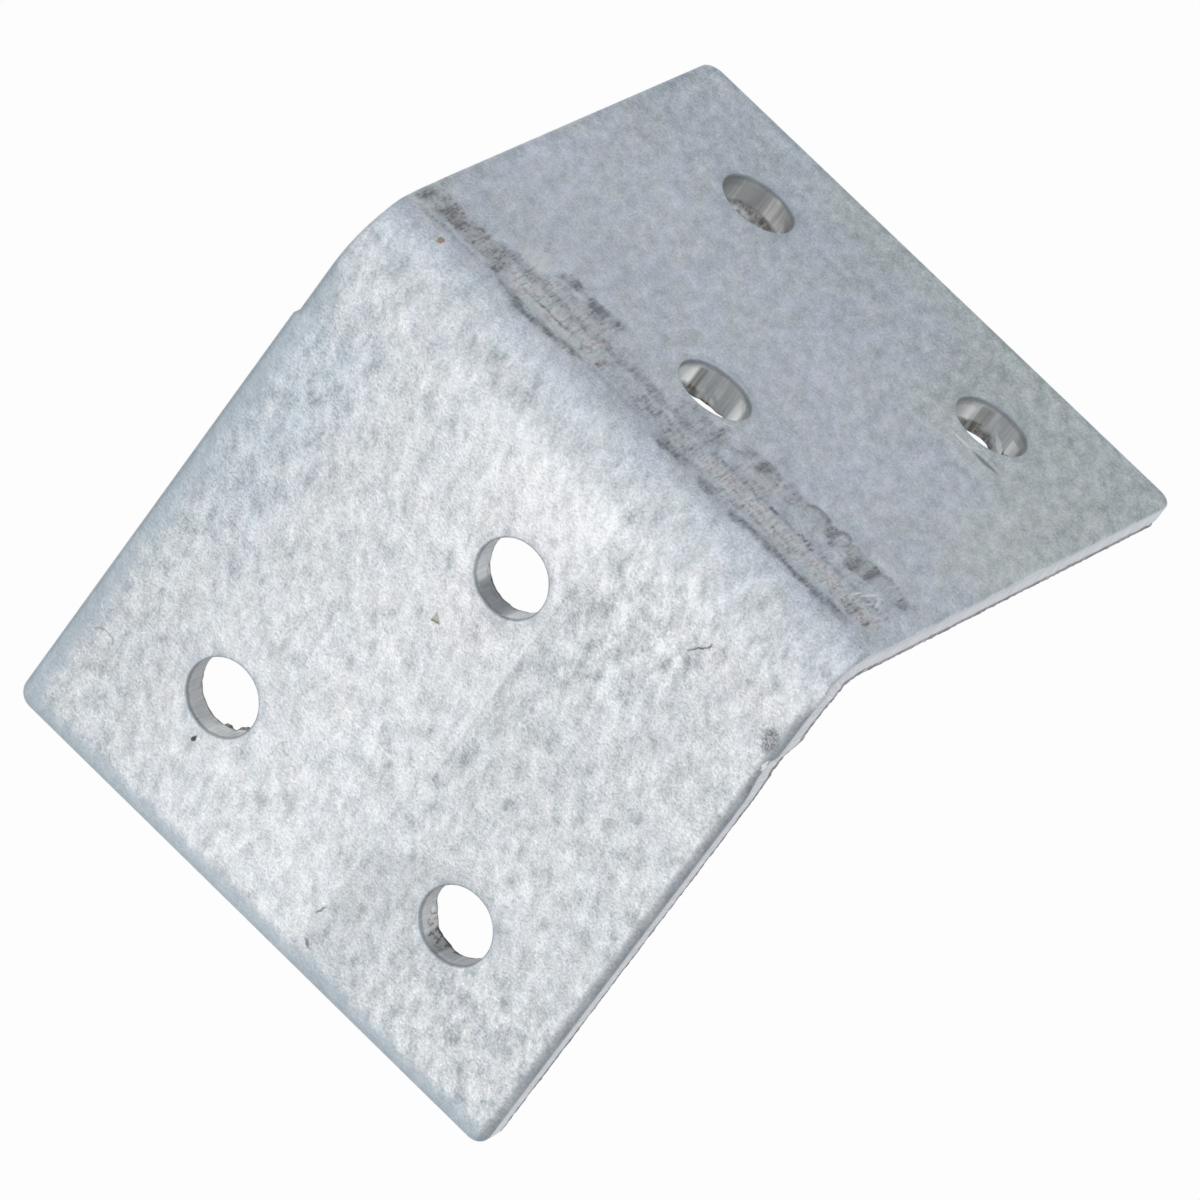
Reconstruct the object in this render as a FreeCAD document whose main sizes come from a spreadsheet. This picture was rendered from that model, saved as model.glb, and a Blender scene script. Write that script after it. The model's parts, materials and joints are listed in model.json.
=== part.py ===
import FreeCAD, Part
import math
import os
import Sketcher

# Right-angle corner bracket: one strip of galvanised sheet, blanked, punched with three round
# holes in each leg and folded once. Millimetres.
# It is drawn with the outer corner of the fold on the X axis: the front leg runs along -Y with its
# outer face up, the rear leg runs along -Z with its outer face towards +Y. Its placement then
# stands it on both free ends, fold on top, centred over the origin.

sizes = {
    # the folded strip
    "bracket_width": 40.0,
    "sheet_thickness": 2.0,
    "front_leg_length": 41.6,
    "rear_leg_length": 42.4,
    "fold_outer_radius": 4.5,
    # punched holes: a single one near the fold, a pair near the free end
    "hole_diameter": 5.0,
    "hole_pair_spacing": 20.0,
    "hole_row_spacing": 20.0,
    "front_single_distance": 11.4,
    "rear_single_distance": 13.3,
    "front_pattern_shift": 0.55,
    "rear_pattern_shift": 0.23,
    # blanked edges: plan corners, and the roll-over that the punch leaves on the outer face
    "corner_radius": 1.1,
    "edge_roll_radius": 0.5,
    "rim_roll_radius": 0.25,
    # the sides draw in a little where the sheet was stretched over the fold
    "fold_draw_in": 0.2,
    "front_draw_reach": 8.8,
    "rear_draw_reach": 7.0,
}

doc = FreeCAD.newDocument("corner_bracket")
sheet = doc.addObject("Spreadsheet::Sheet", "Sizes")
for row, (name, value) in enumerate(sizes.items(), start=1):
    sheet.set(f"A{row}", name)
    sheet.set(f"B{row}", str(value))
    sheet.setAlias(f"B{row}", name)
doc.recompute()

body = doc.addObject("PartDesign::Body", "corner_bracket")
body.Label = "corner_bracket"

# how a sketch numbers its origin and the points of a line, arc or circle
ORIGIN = (-1, 1)
START, END, CENTRE = 1, 2, 3

FOLD_AXIS = FreeCAD.Vector(1, 0, 0)
SKETCH_NORMAL = FreeCAD.Vector(0, 0, 1)
QUARTER_TURN = math.pi / 2
TOLERANCE = 1e-4


def origin_plane(role):
    return next(plane for plane in body.Origin.OriginFeatures if plane.Role == role)


def new_sketch(name, role):
    sketch = body.newObject("Sketcher::SketchObject", name)
    sketch.AttachmentSupport = [(origin_plane(role), "")]
    sketch.MapMode = "FlatFace"
    return sketch


def point(across, up):
    return FreeCAD.Vector(across, up, 0)


def line(sketch, start, end):
    return sketch.addGeometry(Part.LineSegment(start, end), False)


def quarter_arc(sketch, centre, radius):
    circle = Part.Circle(centre, SKETCH_NORMAL, radius)
    return sketch.addGeometry(Part.ArcOfCircle(circle, 0, QUARTER_TURN), False)


def bind(sketch, name, formula, *constraint):
    sketch.addConstraint(Sketcher.Constraint(*constraint))
    sketch.renameConstraint(sketch.ConstraintCount - 1, name)
    sketch.setExpression(f"Constraints.{name}", formula)


def fold_profile():
    """Section across the fold: two legs of one thickness joined by concentric arcs."""
    sketch = new_sketch("fold_profile", "YZ_Plane")
    thick, radius = sizes["sheet_thickness"], sizes["fold_outer_radius"]
    front, rear = sizes["front_leg_length"], sizes["rear_leg_length"]
    centre = point(-radius, -radius)

    front_outer = line(sketch, point(-front, 0), point(-radius, 0))
    outer_arc = quarter_arc(sketch, centre, radius)
    rear_outer = line(sketch, point(0, -radius), point(0, -rear))
    rear_end = line(sketch, point(0, -rear), point(-thick, -rear))
    rear_inner = line(sketch, point(-thick, -rear), point(-thick, -radius))
    inner_arc = quarter_arc(sketch, centre, radius - thick)
    front_inner = line(sketch, point(-radius, -thick), point(-front, -thick))
    front_end = line(sketch, point(-front, -thick), point(-front, 0))

    for first, first_end, second, second_end in (
            (front_outer, END, outer_arc, END), (outer_arc, START, rear_outer, START),
            (rear_inner, END, inner_arc, START), (inner_arc, END, front_inner, START)):
        sketch.addConstraint(Sketcher.Constraint("Tangent", first, first_end, second, second_end))
    for first, second in ((rear_outer, rear_end), (rear_end, rear_inner), (front_inner, front_end),
                          (front_end, front_outer)):
        sketch.addConstraint(Sketcher.Constraint("Coincident", first, END, second, START))
    sketch.addConstraint(Sketcher.Constraint("Coincident", outer_arc, CENTRE, inner_arc, CENTRE))
    for edge in (front_outer, rear_end, front_inner):
        sketch.addConstraint(Sketcher.Constraint("Horizontal", edge))
    for edge in (rear_outer, rear_inner, front_end):
        sketch.addConstraint(Sketcher.Constraint("Vertical", edge))
    for edge in (front_outer, rear_outer):
        sketch.addConstraint(Sketcher.Constraint("PointOnObject", *ORIGIN, edge))

    bind(sketch, "front_leg", "Sizes.front_leg_length", "DistanceX", front_outer, START, *ORIGIN, front)
    bind(sketch, "rear_leg", "Sizes.rear_leg_length", "DistanceY", rear_outer, END, *ORIGIN, rear)
    bind(sketch, "thickness", "Sizes.sheet_thickness", "DistanceY", front_end, START, front_end, END, thick)
    bind(sketch, "outer_radius", "Sizes.fold_outer_radius", "Radius", outer_arc, radius)
    return sketch


def hole_pattern(leg, role):
    """Three equal holes on one leg's outer face: one near the fold, two in the row beyond it."""
    sketch = new_sketch(f"{leg}_holes", role)
    radius, half = sizes["hole_diameter"] / 2, sizes["hole_pair_spacing"] / 2
    shift, near = sizes[f"{leg}_pattern_shift"], sizes[f"{leg}_single_distance"]
    row = sizes["hole_row_spacing"]
    single, left, right = (
        sketch.addGeometry(Part.Circle(point(across, -down), SKETCH_NORMAL, radius), False)
        for across, down in ((shift, near), (shift - half, near + row), (shift + half, near + row)))

    for other in (left, right):
        sketch.addConstraint(Sketcher.Constraint("Equal", single, other))
    bind(sketch, "radius", "Sizes.hole_diameter / 2", "Radius", single, radius)
    bind(sketch, "shift", f"Sizes.{leg}_pattern_shift", "DistanceX", *ORIGIN, single, CENTRE, shift)
    bind(sketch, "near", f"Sizes.{leg}_single_distance", "DistanceY", single, CENTRE, *ORIGIN, near)
    for side, first, second in (("left", left, single), ("right", single, right)):
        bind(sketch, f"{side}_half", "Sizes.hole_pair_spacing / 2", "DistanceX",
             first, CENTRE, second, CENTRE, half)
    for side, hole in (("left", left), ("right", right)):
        bind(sketch, f"{side}_row", "Sizes.hole_row_spacing", "DistanceY", hole, CENTRE, single, CENTRE, row)
    return sketch


def draw_in_window():
    """Window over the fold zone on the side face: what lies in it is drawn in."""
    sketch = new_sketch("fold_draw_in", "YZ_Plane")
    sketch.setExpression("AttachmentOffset.Base.z", "Sizes.bracket_width / 2")
    front, rear = sizes["front_draw_reach"], sizes["rear_draw_reach"]
    corners = [point(0, 0), point(-front, 0), point(-front, -rear), point(0, -rear)]
    top, side, bottom, back = (line(sketch, *ends) for ends in zip(corners, corners[1:] + corners[:1]))

    for first, second in ((top, side), (side, bottom), (bottom, back), (back, top)):
        sketch.addConstraint(Sketcher.Constraint("Coincident", first, END, second, START))
    for edge in (top, bottom):
        sketch.addConstraint(Sketcher.Constraint("Horizontal", edge))
    for edge in (side, back):
        sketch.addConstraint(Sketcher.Constraint("Vertical", edge))
    sketch.addConstraint(Sketcher.Constraint("Coincident", top, START, *ORIGIN))
    bind(sketch, "front_reach", "Sizes.front_draw_reach", "DistanceX", top, END, top, START, front)
    bind(sketch, "rear_reach", "Sizes.rear_draw_reach", "DistanceY", back, START, back, END, rear)
    return sketch


def cut(name, sketch, through, reverse=False):
    """Pocket that has to take material away: a wrong direction would leave the volume as it was."""
    before = body.Tip.Shape.Volume
    pocket = body.newObject("PartDesign::Pocket", name)
    pocket.Profile = sketch
    pocket.Type = "ThroughAll" if through else "Length"
    pocket.Reversed = reverse
    if not through:
        pocket.setExpression("Length", "Sizes.fold_draw_in")
    doc.recompute()
    if pocket.Shape.Volume > before - TOLERANCE:
        raise RuntimeError(f"{name} cuts nothing")
    return pocket


def on_outer_face(place):
    """Whether a point lies on the outer skin of the folded sheet."""
    radius = sizes["fold_outer_radius"]
    if place.y < -radius:
        return abs(place.z) < TOLERANCE
    if place.z < -radius:
        return abs(place.y) < TOLERANCE
    reach = ((place.y + radius) ** 2 + (place.z + radius) ** 2) ** 0.5
    return abs(reach - radius) < TOLERANCE


def outer_edges(shape):
    """Names of the edges that bound the outer skin: those of the strip, and those of the holes."""
    bounds = {}
    for face in shape.Faces:
        low_u, high_u, low_v, high_v = face.ParameterRange
        if on_outer_face(face.valueAt((low_u + high_u) / 2, (low_v + high_v) / 2)):
            for edge in face.Edges:
                bounds[edge.hashCode()] = bounds.get(edge.hashCode(), 0) + 1
    strip, rims = [], []
    for number, edge in enumerate(shape.Edges, start=1):
        if bounds.get(edge.hashCode()) == 1:
            (rims if edge.isClosed() else strip).append(f"Edge{number}")
    return strip, rims


def free_corners(shape):
    """Names of the edges through the sheet at the four plan corners of the free ends."""
    half = sizes["bracket_width"] / 2
    names = []
    for number, edge in enumerate(shape.Edges, start=1):
        box = edge.BoundBox
        at_side = box.XLength < TOLERANCE and abs(abs(box.XMin) - half) < TOLERANCE
        at_front = abs(box.YMax + sizes["front_leg_length"]) < TOLERANCE
        at_rear = abs(box.ZMax + sizes["rear_leg_length"]) < TOLERANCE
        if at_side and (at_front or at_rear):
            names.append(f"Edge{number}")
    return names


def round_edges(name, edges, radius_name):
    base = body.Tip
    fillet = body.newObject("PartDesign::Fillet", name)
    fillet.Base = (base, edges)
    fillet.setExpression("Radius", f"Sizes.{radius_name}")
    doc.recompute()
    return fillet


# folded strip
strip = body.newObject("PartDesign::Pad", "strip")
strip.Profile = fold_profile()
strip.setExpression("Length", "Sizes.bracket_width")
strip.SideType = "Symmetric"
doc.recompute()

# plan corners and punched holes
round_edges("plan_corners", free_corners(body.Tip.Shape), "corner_radius")
cut("front_hole_cut", hole_pattern("front", "XY_Plane"), through=True)
cut("rear_hole_cut", hole_pattern("rear", "XZ_Plane"), through=True, reverse=True)

# roll-over of the outer edges and the hole rims; the inner face keeps its sharp cut edges
round_edges("edge_roll", outer_edges(body.Tip.Shape)[0], "edge_roll_radius")
round_edges("rim_roll", outer_edges(body.Tip.Shape)[1], "rim_roll_radius")

# sides drawn in at the fold, the same on both sides
side_cut = cut("side_draw_in", draw_in_window(), through=False)
both_sides = body.newObject("PartDesign::Mirrored", "both_sides_draw_in")
both_sides.Originals = [side_cut]
both_sides.MirrorPlane = (origin_plane("YZ_Plane"), [""])
body.Tip = both_sides
doc.recompute()

# It rests on the inner corner of each free end: the tilt brings both to one height.
front_inside = "(Sizes.front_leg_length - Sizes.sheet_thickness)"
rear_inside = "(Sizes.rear_leg_length - Sizes.sheet_thickness)"
rest_span = f"sqrt({front_inside}^2 + {rear_inside}^2)"
lean = FreeCAD.Rotation(FOLD_AXIS, math.degrees(QUARTER_TURN / 2))
body.Placement = FreeCAD.Placement(FreeCAD.Vector(), lean)
body.setExpression("Placement.Rotation.Angle", f"atan({rear_inside} / {front_inside})")
body.setExpression("Placement.Base.y", f"(Sizes.front_leg_length * {front_inside}"
                   f" - Sizes.rear_leg_length * {rear_inside}) / (2 * {rest_span})")
body.setExpression("Placement.Base.z", f"(Sizes.front_leg_length * {rear_inside}"
                   f" + Sizes.sheet_thickness * {front_inside}) / {rest_span}")
doc.recompute()

for item in doc.Objects:
    if any(word in item.State for word in ("Invalid", "Error")):
        raise RuntimeError(f"{item.Name} failed: {item.State}")
if body.Shape.isNull() or not body.Shape.isValid() or len(body.Shape.Solids) != 1:
    raise RuntimeError("the bracket is not one valid solid")

os.makedirs("parts", exist_ok=True)
body.Shape.exportStep(f"parts/{body.Label}.step")
box = body.Shape.BoundBox
print(f"{body.Label}: {box.XLength:.2f} x {box.YLength:.2f} x {box.ZLength:.2f} mm,"
      f" lowest point {box.ZMin:.3f}, volume {body.Shape.Volume:.1f} mm3")
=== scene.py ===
import json
import math

import bpy
import numpy as np
from mathutils import Matrix, Vector, geometry, noise


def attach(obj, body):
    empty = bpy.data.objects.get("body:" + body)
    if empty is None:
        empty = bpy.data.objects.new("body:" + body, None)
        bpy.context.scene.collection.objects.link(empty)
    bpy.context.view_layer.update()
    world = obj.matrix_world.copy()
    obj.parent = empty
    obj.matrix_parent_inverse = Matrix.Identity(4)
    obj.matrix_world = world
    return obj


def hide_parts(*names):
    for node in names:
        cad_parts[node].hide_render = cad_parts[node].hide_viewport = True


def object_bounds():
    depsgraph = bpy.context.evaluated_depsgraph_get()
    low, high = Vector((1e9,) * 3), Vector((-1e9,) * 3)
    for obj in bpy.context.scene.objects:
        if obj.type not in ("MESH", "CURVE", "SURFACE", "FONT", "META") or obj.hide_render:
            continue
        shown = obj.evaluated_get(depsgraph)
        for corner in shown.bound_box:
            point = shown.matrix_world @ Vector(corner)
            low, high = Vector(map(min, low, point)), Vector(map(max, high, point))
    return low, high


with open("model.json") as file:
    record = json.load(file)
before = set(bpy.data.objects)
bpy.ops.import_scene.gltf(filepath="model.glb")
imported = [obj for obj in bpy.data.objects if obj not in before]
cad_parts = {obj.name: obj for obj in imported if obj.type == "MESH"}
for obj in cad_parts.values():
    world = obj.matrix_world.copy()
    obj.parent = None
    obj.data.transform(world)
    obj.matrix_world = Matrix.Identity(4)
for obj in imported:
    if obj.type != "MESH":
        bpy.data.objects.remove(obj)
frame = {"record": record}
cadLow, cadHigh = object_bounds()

mm = 0.001
print("frame: box", [round(v / mm, 2) for v in cadHigh - cadLow])


# Bracket: one strip of sheet, described by x across it, q along it and d into it, in mm
bracket = {
    "foldRadius": 4.5,
    "cornerRadius": 1.1,
    "endTrim": 0.05,  # keeps the uneven ends inside the solid's box
    "rollDepth": 0.22,  # outer edges, rolled over by the blade
    "rollLeft": 0.5,
    "rollRight": 0.55,
    "rollEnds": 0.6,
    "rollLeast": 0.3,
    "rollFade": 0.9,
    "sagDepth": 0.07,
    "sagWidth": 3.0,
    "rimDepth": 0.16,
    "rimWidth": 0.15,
    "drawIn": 0.26,  # sides pulled in at the fold
    "drawFront": (-7.8, -7.3),
    "drawRear": (0.5, 6.0),
    "drawRight": (-1.7, -0.6),
    "drawShare": 0.92,
    "drawSpread": 2.2,
    "notchStart": (-10.6, -8.2),  # notch in the right edge, in front of the fold
    "notchEnd": (-7.35, -6.6),
    "notchShare": 0.6,
    "bandDepth": 0.05,  # strip pressed by the folding tool
    "bandRise": (3.6, 4.6),
    "bandFall": (7.6, 8.6),
    "waviness": 0.03,
    "waveScale": 0.11,
    "sharpAngle": 42,
}
mounts = {mount["name"]: mount for mount in frame["record"]["mounts"]}


def mountPlace(name):
    return np.array(mounts[name]["pos_m"]) / mm


def mountAxis(name):
    axis = np.array(mounts[name]["axis"])
    return axis / np.linalg.norm(axis)


frontNormal = mountAxis("front_outer_face")
rearNormal = mountAxis("rear_outer_face")
thick = float((mountPlace("front_outer_face") - mountPlace("front_inner_face")) @ frontNormal)
halfWidth = (cadHigh.x - cadLow.x) / 2 / mm
apex = (mountPlace("front_outer_face") @ frontNormal) * frontNormal
apex = apex + (mountPlace("rear_outer_face") @ rearNormal) * rearNormal
frontLeg = (apex[2] - thick * frontNormal[2]) / rearNormal[2]
rearLeg = (apex[2] - thick * rearNormal[2]) / frontNormal[2]
foldRadius = bracket["foldRadius"]
foldCentre = apex - foldRadius * (frontNormal + rearNormal)
halfFold = foldRadius * math.pi / 4
frontEnd = -(halfFold + frontLeg - foldRadius) + bracket["endTrim"]
rearEnd = halfFold + rearLeg - foldRadius - bracket["endTrim"]


def sheetPoint(x, q, d):
    turn = np.clip(q, -halfFold, halfFold) / foldRadius + math.pi / 4
    radial = np.outer(np.cos(turn), frontNormal) + np.outer(np.sin(turn), rearNormal)
    place = foldCentre + radial * (foldRadius - d)[:, None]
    place = place - np.outer(np.maximum(-q - halfFold, 0), rearNormal)
    place = place - np.outer(np.maximum(q - halfFold, 0), frontNormal)
    place[:, 0] += x
    return place


def holeInSheet(name):
    place = mountPlace(name) - apex
    if name.startswith("front"):
        return place[0], -(-place @ rearNormal - foldRadius + halfFold)
    return place[0], -place @ frontNormal - foldRadius + halfFold


holeNames = [name for name in mounts if name.endswith("hole")]
holes = [(*holeInSheet(name), mounts[name]["dims"]["r_mm"]) for name in holeNames]
print("sheet:", round(frontEnd, 2), round(rearEnd, 2), "thickness", round(thick, 3))


def smooth(value, start, end):
    share = np.clip((value - start) / (end - start), 0, 1)
    return share * share * (3 - 2 * share)


def within(value, low, high, soft):
    return smooth(value, low - soft, low + soft) * (1 - smooth(value, high - soft, high + soft))


def ripple(points, scale, octaves=2):
    return np.array([noise.fractal(Vector(p) * scale, 1.0, 2.0, octaves) for p in points])


def onSheet(here, level):
    return np.stack([here[:, 0], here[:, 1], np.full(len(here), float(level))], 1)


def edgeDistance(x, q):
    radius = bracket["cornerRadius"]
    middle = (frontEnd + rearEnd) / 2
    across = np.abs(x) - (halfWidth - radius)
    along = np.abs(q - middle) - ((rearEnd - frontEnd) / 2 - radius)
    outside = np.hypot(np.maximum(across, 0), np.maximum(along, 0))
    return radius - outside - np.minimum(np.maximum(across, along), 0)


def rimDistance(x, q):
    return np.min([np.hypot(x - hx, q - hq) - r for hx, hq, r in holes], axis=0)


def rolled(distance, width, depth):
    share = np.clip(1 - distance / width, 0, 1)
    return depth * (1 - np.sqrt(1 - share * share))


def rollWidth(x, q):
    gaps = [x + halfWidth, halfWidth - x, q - frontEnd, rearEnd - q]
    widths = [bracket[key] for key in ("rollLeft", "rollRight", "rollEnds", "rollEnds")]
    pulls = [np.exp(-gap / bracket["rollFade"]) for gap in gaps]
    return sum(pull * width for pull, width in zip(pulls, widths)) / np.maximum(sum(pulls), 1e-9)


def outerDepth(x, q):
    edge = edgeDistance(x, q)
    depth = rolled(edge, np.maximum(rollWidth(x, q), bracket["rollLeast"]), bracket["rollDepth"])
    depth = depth + rolled(rimDistance(x, q), bracket["rimWidth"], bracket["rimDepth"])
    depth = depth + np.clip(1 - edge / bracket["sagWidth"], 0, 1) ** 2 * bracket["sagDepth"]
    band = smooth(q, *bracket["bandRise"]) * (1 - smooth(q, *bracket["bandFall"]))
    depth = depth + band * bracket["bandDepth"]
    wave = ripple(np.stack([x, q, np.zeros_like(x)], 1), bracket["waveScale"])
    return depth + (0.5 + 0.5 * wave) * bracket["waviness"] * smooth(edge, 0, bracket["sagWidth"])


def drawnX(x, q, d):
    deep = np.clip(d / thick, 0, 1)
    rear = (1 - smooth(q, *bracket["drawRear"])) * (1 - bracket["drawShare"] * deep)
    notch = smooth(q, *bracket["notchStart"]) * (1 - smooth(q, *bracket["notchEnd"]))
    right = smooth(q, *bracket["drawRight"]) * rear + notch * (1 - bracket["notchShare"] * deep)
    pull = bracket["drawIn"] * np.where(x < 0, smooth(q, *bracket["drawFront"]) * rear, right)
    side = np.exp(-((halfWidth - np.abs(x)) / bracket["drawSpread"]) ** 2)
    return x - np.sign(x) * pull * side


# Grid: the sheet is meshed flat, close along the edges, the rims and the tool band
grid = {
    "seed": 41,
    "edgeSpacing": 0.24,
    "cornerStep": 0.45,
    "rimCount": 160,
    "ringThin": 0.35,
    "insetStep": 0.5,
    "outerInsets": [0.05, 0.12, 0.21, 0.33, 0.48, 0.66, 0.9, 1.25],
    "outerRims": [0.04, 0.1, 0.18, 0.28, 0.42, 0.66],
    "innerInsets": [0.3, 0.75],
    "innerRims": [0.3, 0.8],
    "outerSpacing": 0.62,
    "bandSpacing": 0.2,
    "bandRows": (2.2, 11.2),
    "innerSpacing": 1.3,
    "rowPitch": 0.866,
    "jitter": 0.16,
    "edgeClear": 0.45,
    "rimClear": 0.4,
    "edgeRows": 10,
    "rimRows": 18,
}
draw = np.random.default_rng(grid["seed"])


def outlineLoop(inset, spacing):
    radius = max(bracket["cornerRadius"] - inset, 0)
    right = halfWidth - inset - radius
    high = rearEnd - inset - radius
    low = frontEnd + inset + radius
    corners = [(right, high), (-right, high), (-right, low), (right, low)]
    points = []
    for index, (cx, cq) in enumerate(corners):
        steps = int(round(radius * math.pi / 2 / (spacing * grid["cornerStep"])))
        turns = [index * math.pi / 2 + math.pi / 2 * k / max(steps, 1) for k in range(steps + 1)]
        arc = [(cx + radius * math.cos(a), cq + radius * math.sin(a)) for a in turns]
        points += arc
        nx, nq = corners[(index + 1) % 4]
        ahead = (index + 1) * math.pi / 2
        start = np.array(arc[-1])
        end = np.array([nx + radius * math.cos(ahead), nq + radius * math.sin(ahead)])
        count = max(int(round(np.linalg.norm(end - start) / spacing)), 1)
        points += [tuple(start + (end - start) * k / count) for k in range(1, count)]
    return points


def ringLoop(hole, inset, count):
    hx, hq, radius = hole
    turns = [-2 * math.pi * k / count for k in range(count)]
    return [(hx + (radius + inset) * math.cos(a), hq + (radius + inset) * math.sin(a)) for a in turns]


loops = [outlineLoop(0, grid["edgeSpacing"])]
loops += [ringLoop(hole, 0, grid["rimCount"]) for hole in holes]


def planMesh(spacing, bandSpacing, edgeInsets, rimInsets):
    points = [p for loop in loops for p in loop]
    edges = []
    start = 0
    for loop in loops:
        edges += [(start + k, start + (k + 1) % len(loop)) for k in range(len(loop))]
        start += len(loop)
    fixed = len(points)
    for inset in edgeInsets:
        points += outlineLoop(inset, max(grid["edgeSpacing"], inset * grid["insetStep"]))
    for hole in holes:
        for inset in rimInsets:
            points += ringLoop(hole, inset, int(grid["rimCount"] * (1 - grid["ringThin"] * inset)))
    bandLow, bandHigh = grid["bandRows"]
    jitter = grid["jitter"]
    strips = ((frontEnd, bandLow, spacing), (bandLow, bandHigh, bandSpacing), (bandHigh, rearEnd, spacing))
    for low, high, step in strips:
        rows = int((high - low) / (step * grid["rowPitch"]))
        columns = int(2 * halfWidth / step)
        for row in range(rows + 1):
            x = -halfWidth + (np.arange(columns) + 0.5 * (row % 2)) * step
            x = x + draw.uniform(-jitter, jitter, columns) * step
            q = low + (high - low) * row / rows + draw.uniform(-jitter, jitter, columns) * step
            clear = edgeDistance(x, q) > edgeInsets[-1] + step * grid["edgeClear"]
            clear &= rimDistance(x, q) > rimInsets[-1] + step * grid["rimClear"]
            points += list(zip(x[clear], q[clear]))
    found = geometry.delaunay_2d_cdt([Vector(p) for p in points], edges, [], 0, 1e-6)
    order = {}
    for index, origins in enumerate(found[3]):
        for origin in origins:
            order[origin] = index
    plan = np.array([(p.x, p.y) for p in found[0]])
    faces = np.array([list(face) for face in found[2]])
    middle = plan[faces].mean(1)
    faces = faces[rimDistance(middle[:, 0], middle[:, 1]) > 0]
    a, b, c = (plan[faces[:, k]] for k in range(3))
    area = (b[:, 0] - a[:, 0]) * (c[:, 1] - a[:, 1]) - (b[:, 1] - a[:, 1]) * (c[:, 0] - a[:, 0])
    faces[area < 0] = faces[area < 0][:, ::-1]
    faces = faces[np.abs(area) > 1e-9]
    return plan, faces, [order[k] for k in range(fixed)]


outerPlan, outerFaces, outerBoundary = planMesh(
    grid["outerSpacing"], grid["bandSpacing"], grid["outerInsets"], grid["outerRims"]
)
innerPlan, innerFaces, innerBoundary = planMesh(
    grid["innerSpacing"], grid["innerSpacing"], grid["innerInsets"], grid["innerRims"]
)
print("plan: outer", len(outerFaces), "inner", len(innerFaces))


# Cutting: what the blade and the punches left on the edge and in the holes, and the painted highlights and
# shade on the hole walls
cutting = {
    "lipStart": (-6.6, -6.2),  # lip of a burr along the right edge of the fold
    "lipEnd": (-1.2, 0.3),
    "lipDrop": 0.58,
    "collarLeast": 0.05,
    "collarWave": 0.12,
    "tearSteady": 0.35,
    "wallShake": 0.06,
    "gleamSoft": 0.05,
    "rentSoft": 0.1,
    "reachSpan": (0.62, 0.98),
    "tornSpan": (-0.03, 0.08),
}
torn = {
    "edge": {"start": 0.7, "wander": 0.1, "depth": 0.06, "rough": 0.05},
    "hole": {"start": 0.78, "wander": 0.3, "depth": 0.04, "rough": 0.04},
}
burrs = [  # q, half length, drop
    (0.0, 0.28, 0.4), (-6.0, 0.34, 0.5), (-9.0, 0.3, 0.2), (-39.0, 0.3, 0.16), (-17.5, 0.5, 0.06),
    (14.0, 0.6, 0.06), (27.0, 0.5, 0.05),
]
collars = {"rear_left_hole": 0.55, "rear_single_hole": 0.36, "rear_right_hole": 0.48}
tears = {  # angle in degrees from +x towards +q, spread, reach into the hole, drop
    "rear_left_hole": [(100, 75, 0.55, 0.25)],
    "rear_single_hole": [(104, 48, 0.0, 0.3), (150, 24, 0.1, 0.05)],
    "rear_right_hole": [
        (109, 45, 0.0, 0.12), (72, 26, 0.0, 0.32), (145, 20, 0.1, 0.04), (64, 6, 0.2, 0.12),
        (20, 14, 0.2, 0.12),
    ],
    "front_left_hole": [(-43, 13, 0.3, 0.08), (-70, 9, 0.16, 0.05)],
    "front_right_hole": [(-140, 24, 0.14, 0.08), (-100, 22, 0.1, 0.05), (160, 16, 0.1, 0.05)],
}
gleams = {  # angle, spread, depth from and to (0 outer face, 1 inner), gain above 0 for a painted highlight and below 0 for painted shade, slant if any
    "rear_left_hole": [
        (0, 200, 0.1, 0.76, -0.2), (154, 15, 0.28, 0.7, 0.42), (121, 16, 0.1, 0.72, -0.16),
        (66, 7, 0.45, 0.85, 0.12), (47, 9, 0.38, 0.86, 0.6, -14), (32, 7, 0.2, 1.0, -0.25),
        (79, 10, 0.08, 0.8, -0.34), (114, 52, 0.68, 0.77, -0.62), (104, 11, 0.74, 0.83, -0.5),
        (63, 12, 0.74, 0.83, -0.7), (112, 62, 0.83, 1.0, -0.3),
    ],
    "rear_single_hole": [
        (0, 200, 0.1, 1.0, -0.08), (165, 22, 0.18, 0.66, 1.4), (135, 7, 0.12, 0.82, -0.62),
        (137, 16, 0.78, 1.0, -0.75), (56, 11, 0.2, 1.0, 1.4), (48, 8, 0.2, 0.5, 0.5),
        (30, 10, 0.15, 1.0, -0.3), (105, 50, 0.965, 1.0, -0.8),
    ],
    "rear_right_hole": [
        (0, 200, 0.1, 1.0, -0.05), (166, 27, 0.2, 0.6, 1.3), (141, 7, 0.14, 0.4, 0.35),
        (121, 11, 0.14, 0.66, -0.5), (146, 32, 0.66, 1.0, -0.88), (106, 12, 0.7, 1.0, -0.55),
        (90, 6, 0.83, 1.0, -0.6), (96, 4, 0.3, 0.6, 0.3), (87, 6, 0.58, 0.92, 2.6, -68),
        (55, 11, 0.3, 0.74, 2.0), (61.5, 6, 0.72, 0.75, -3.4), (57, 3.4, 0.74, 0.9, -3.4),
        (67, 3, 0.77, 0.86, -1.6), (48, 8, 0.76, 1.0, 0.6), (28, 10, 0.12, 1.0, -0.5),
    ],
    "front_left_hole": [(0, 200, 0.12, 0.9, 0.8), (-110, 110, 0.94, 1.0, -1.1)],
    "front_single_hole": [
        (0, 200, 0.12, 0.92, 0.85), (-98, 33, 0.12, 0.96, -1.05), (-150, 3, 0.3, 0.9, -0.25),
        (-62, 4, 0.3, 0.9, -0.3), (-125, 90, 0.95, 1.0, -0.7),
    ],
    "front_right_hole": [
        (0, 200, 0.12, 0.9, 0.74), (-105, 17, 0.08, 1.0, -0.95), (-78, 12, 0.3, 1.0, -0.6),
        (-129, 8, 0.35, 0.9, -0.4), (-130, 90, 0.92, 1.0, -0.8),
    ],
}
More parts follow.
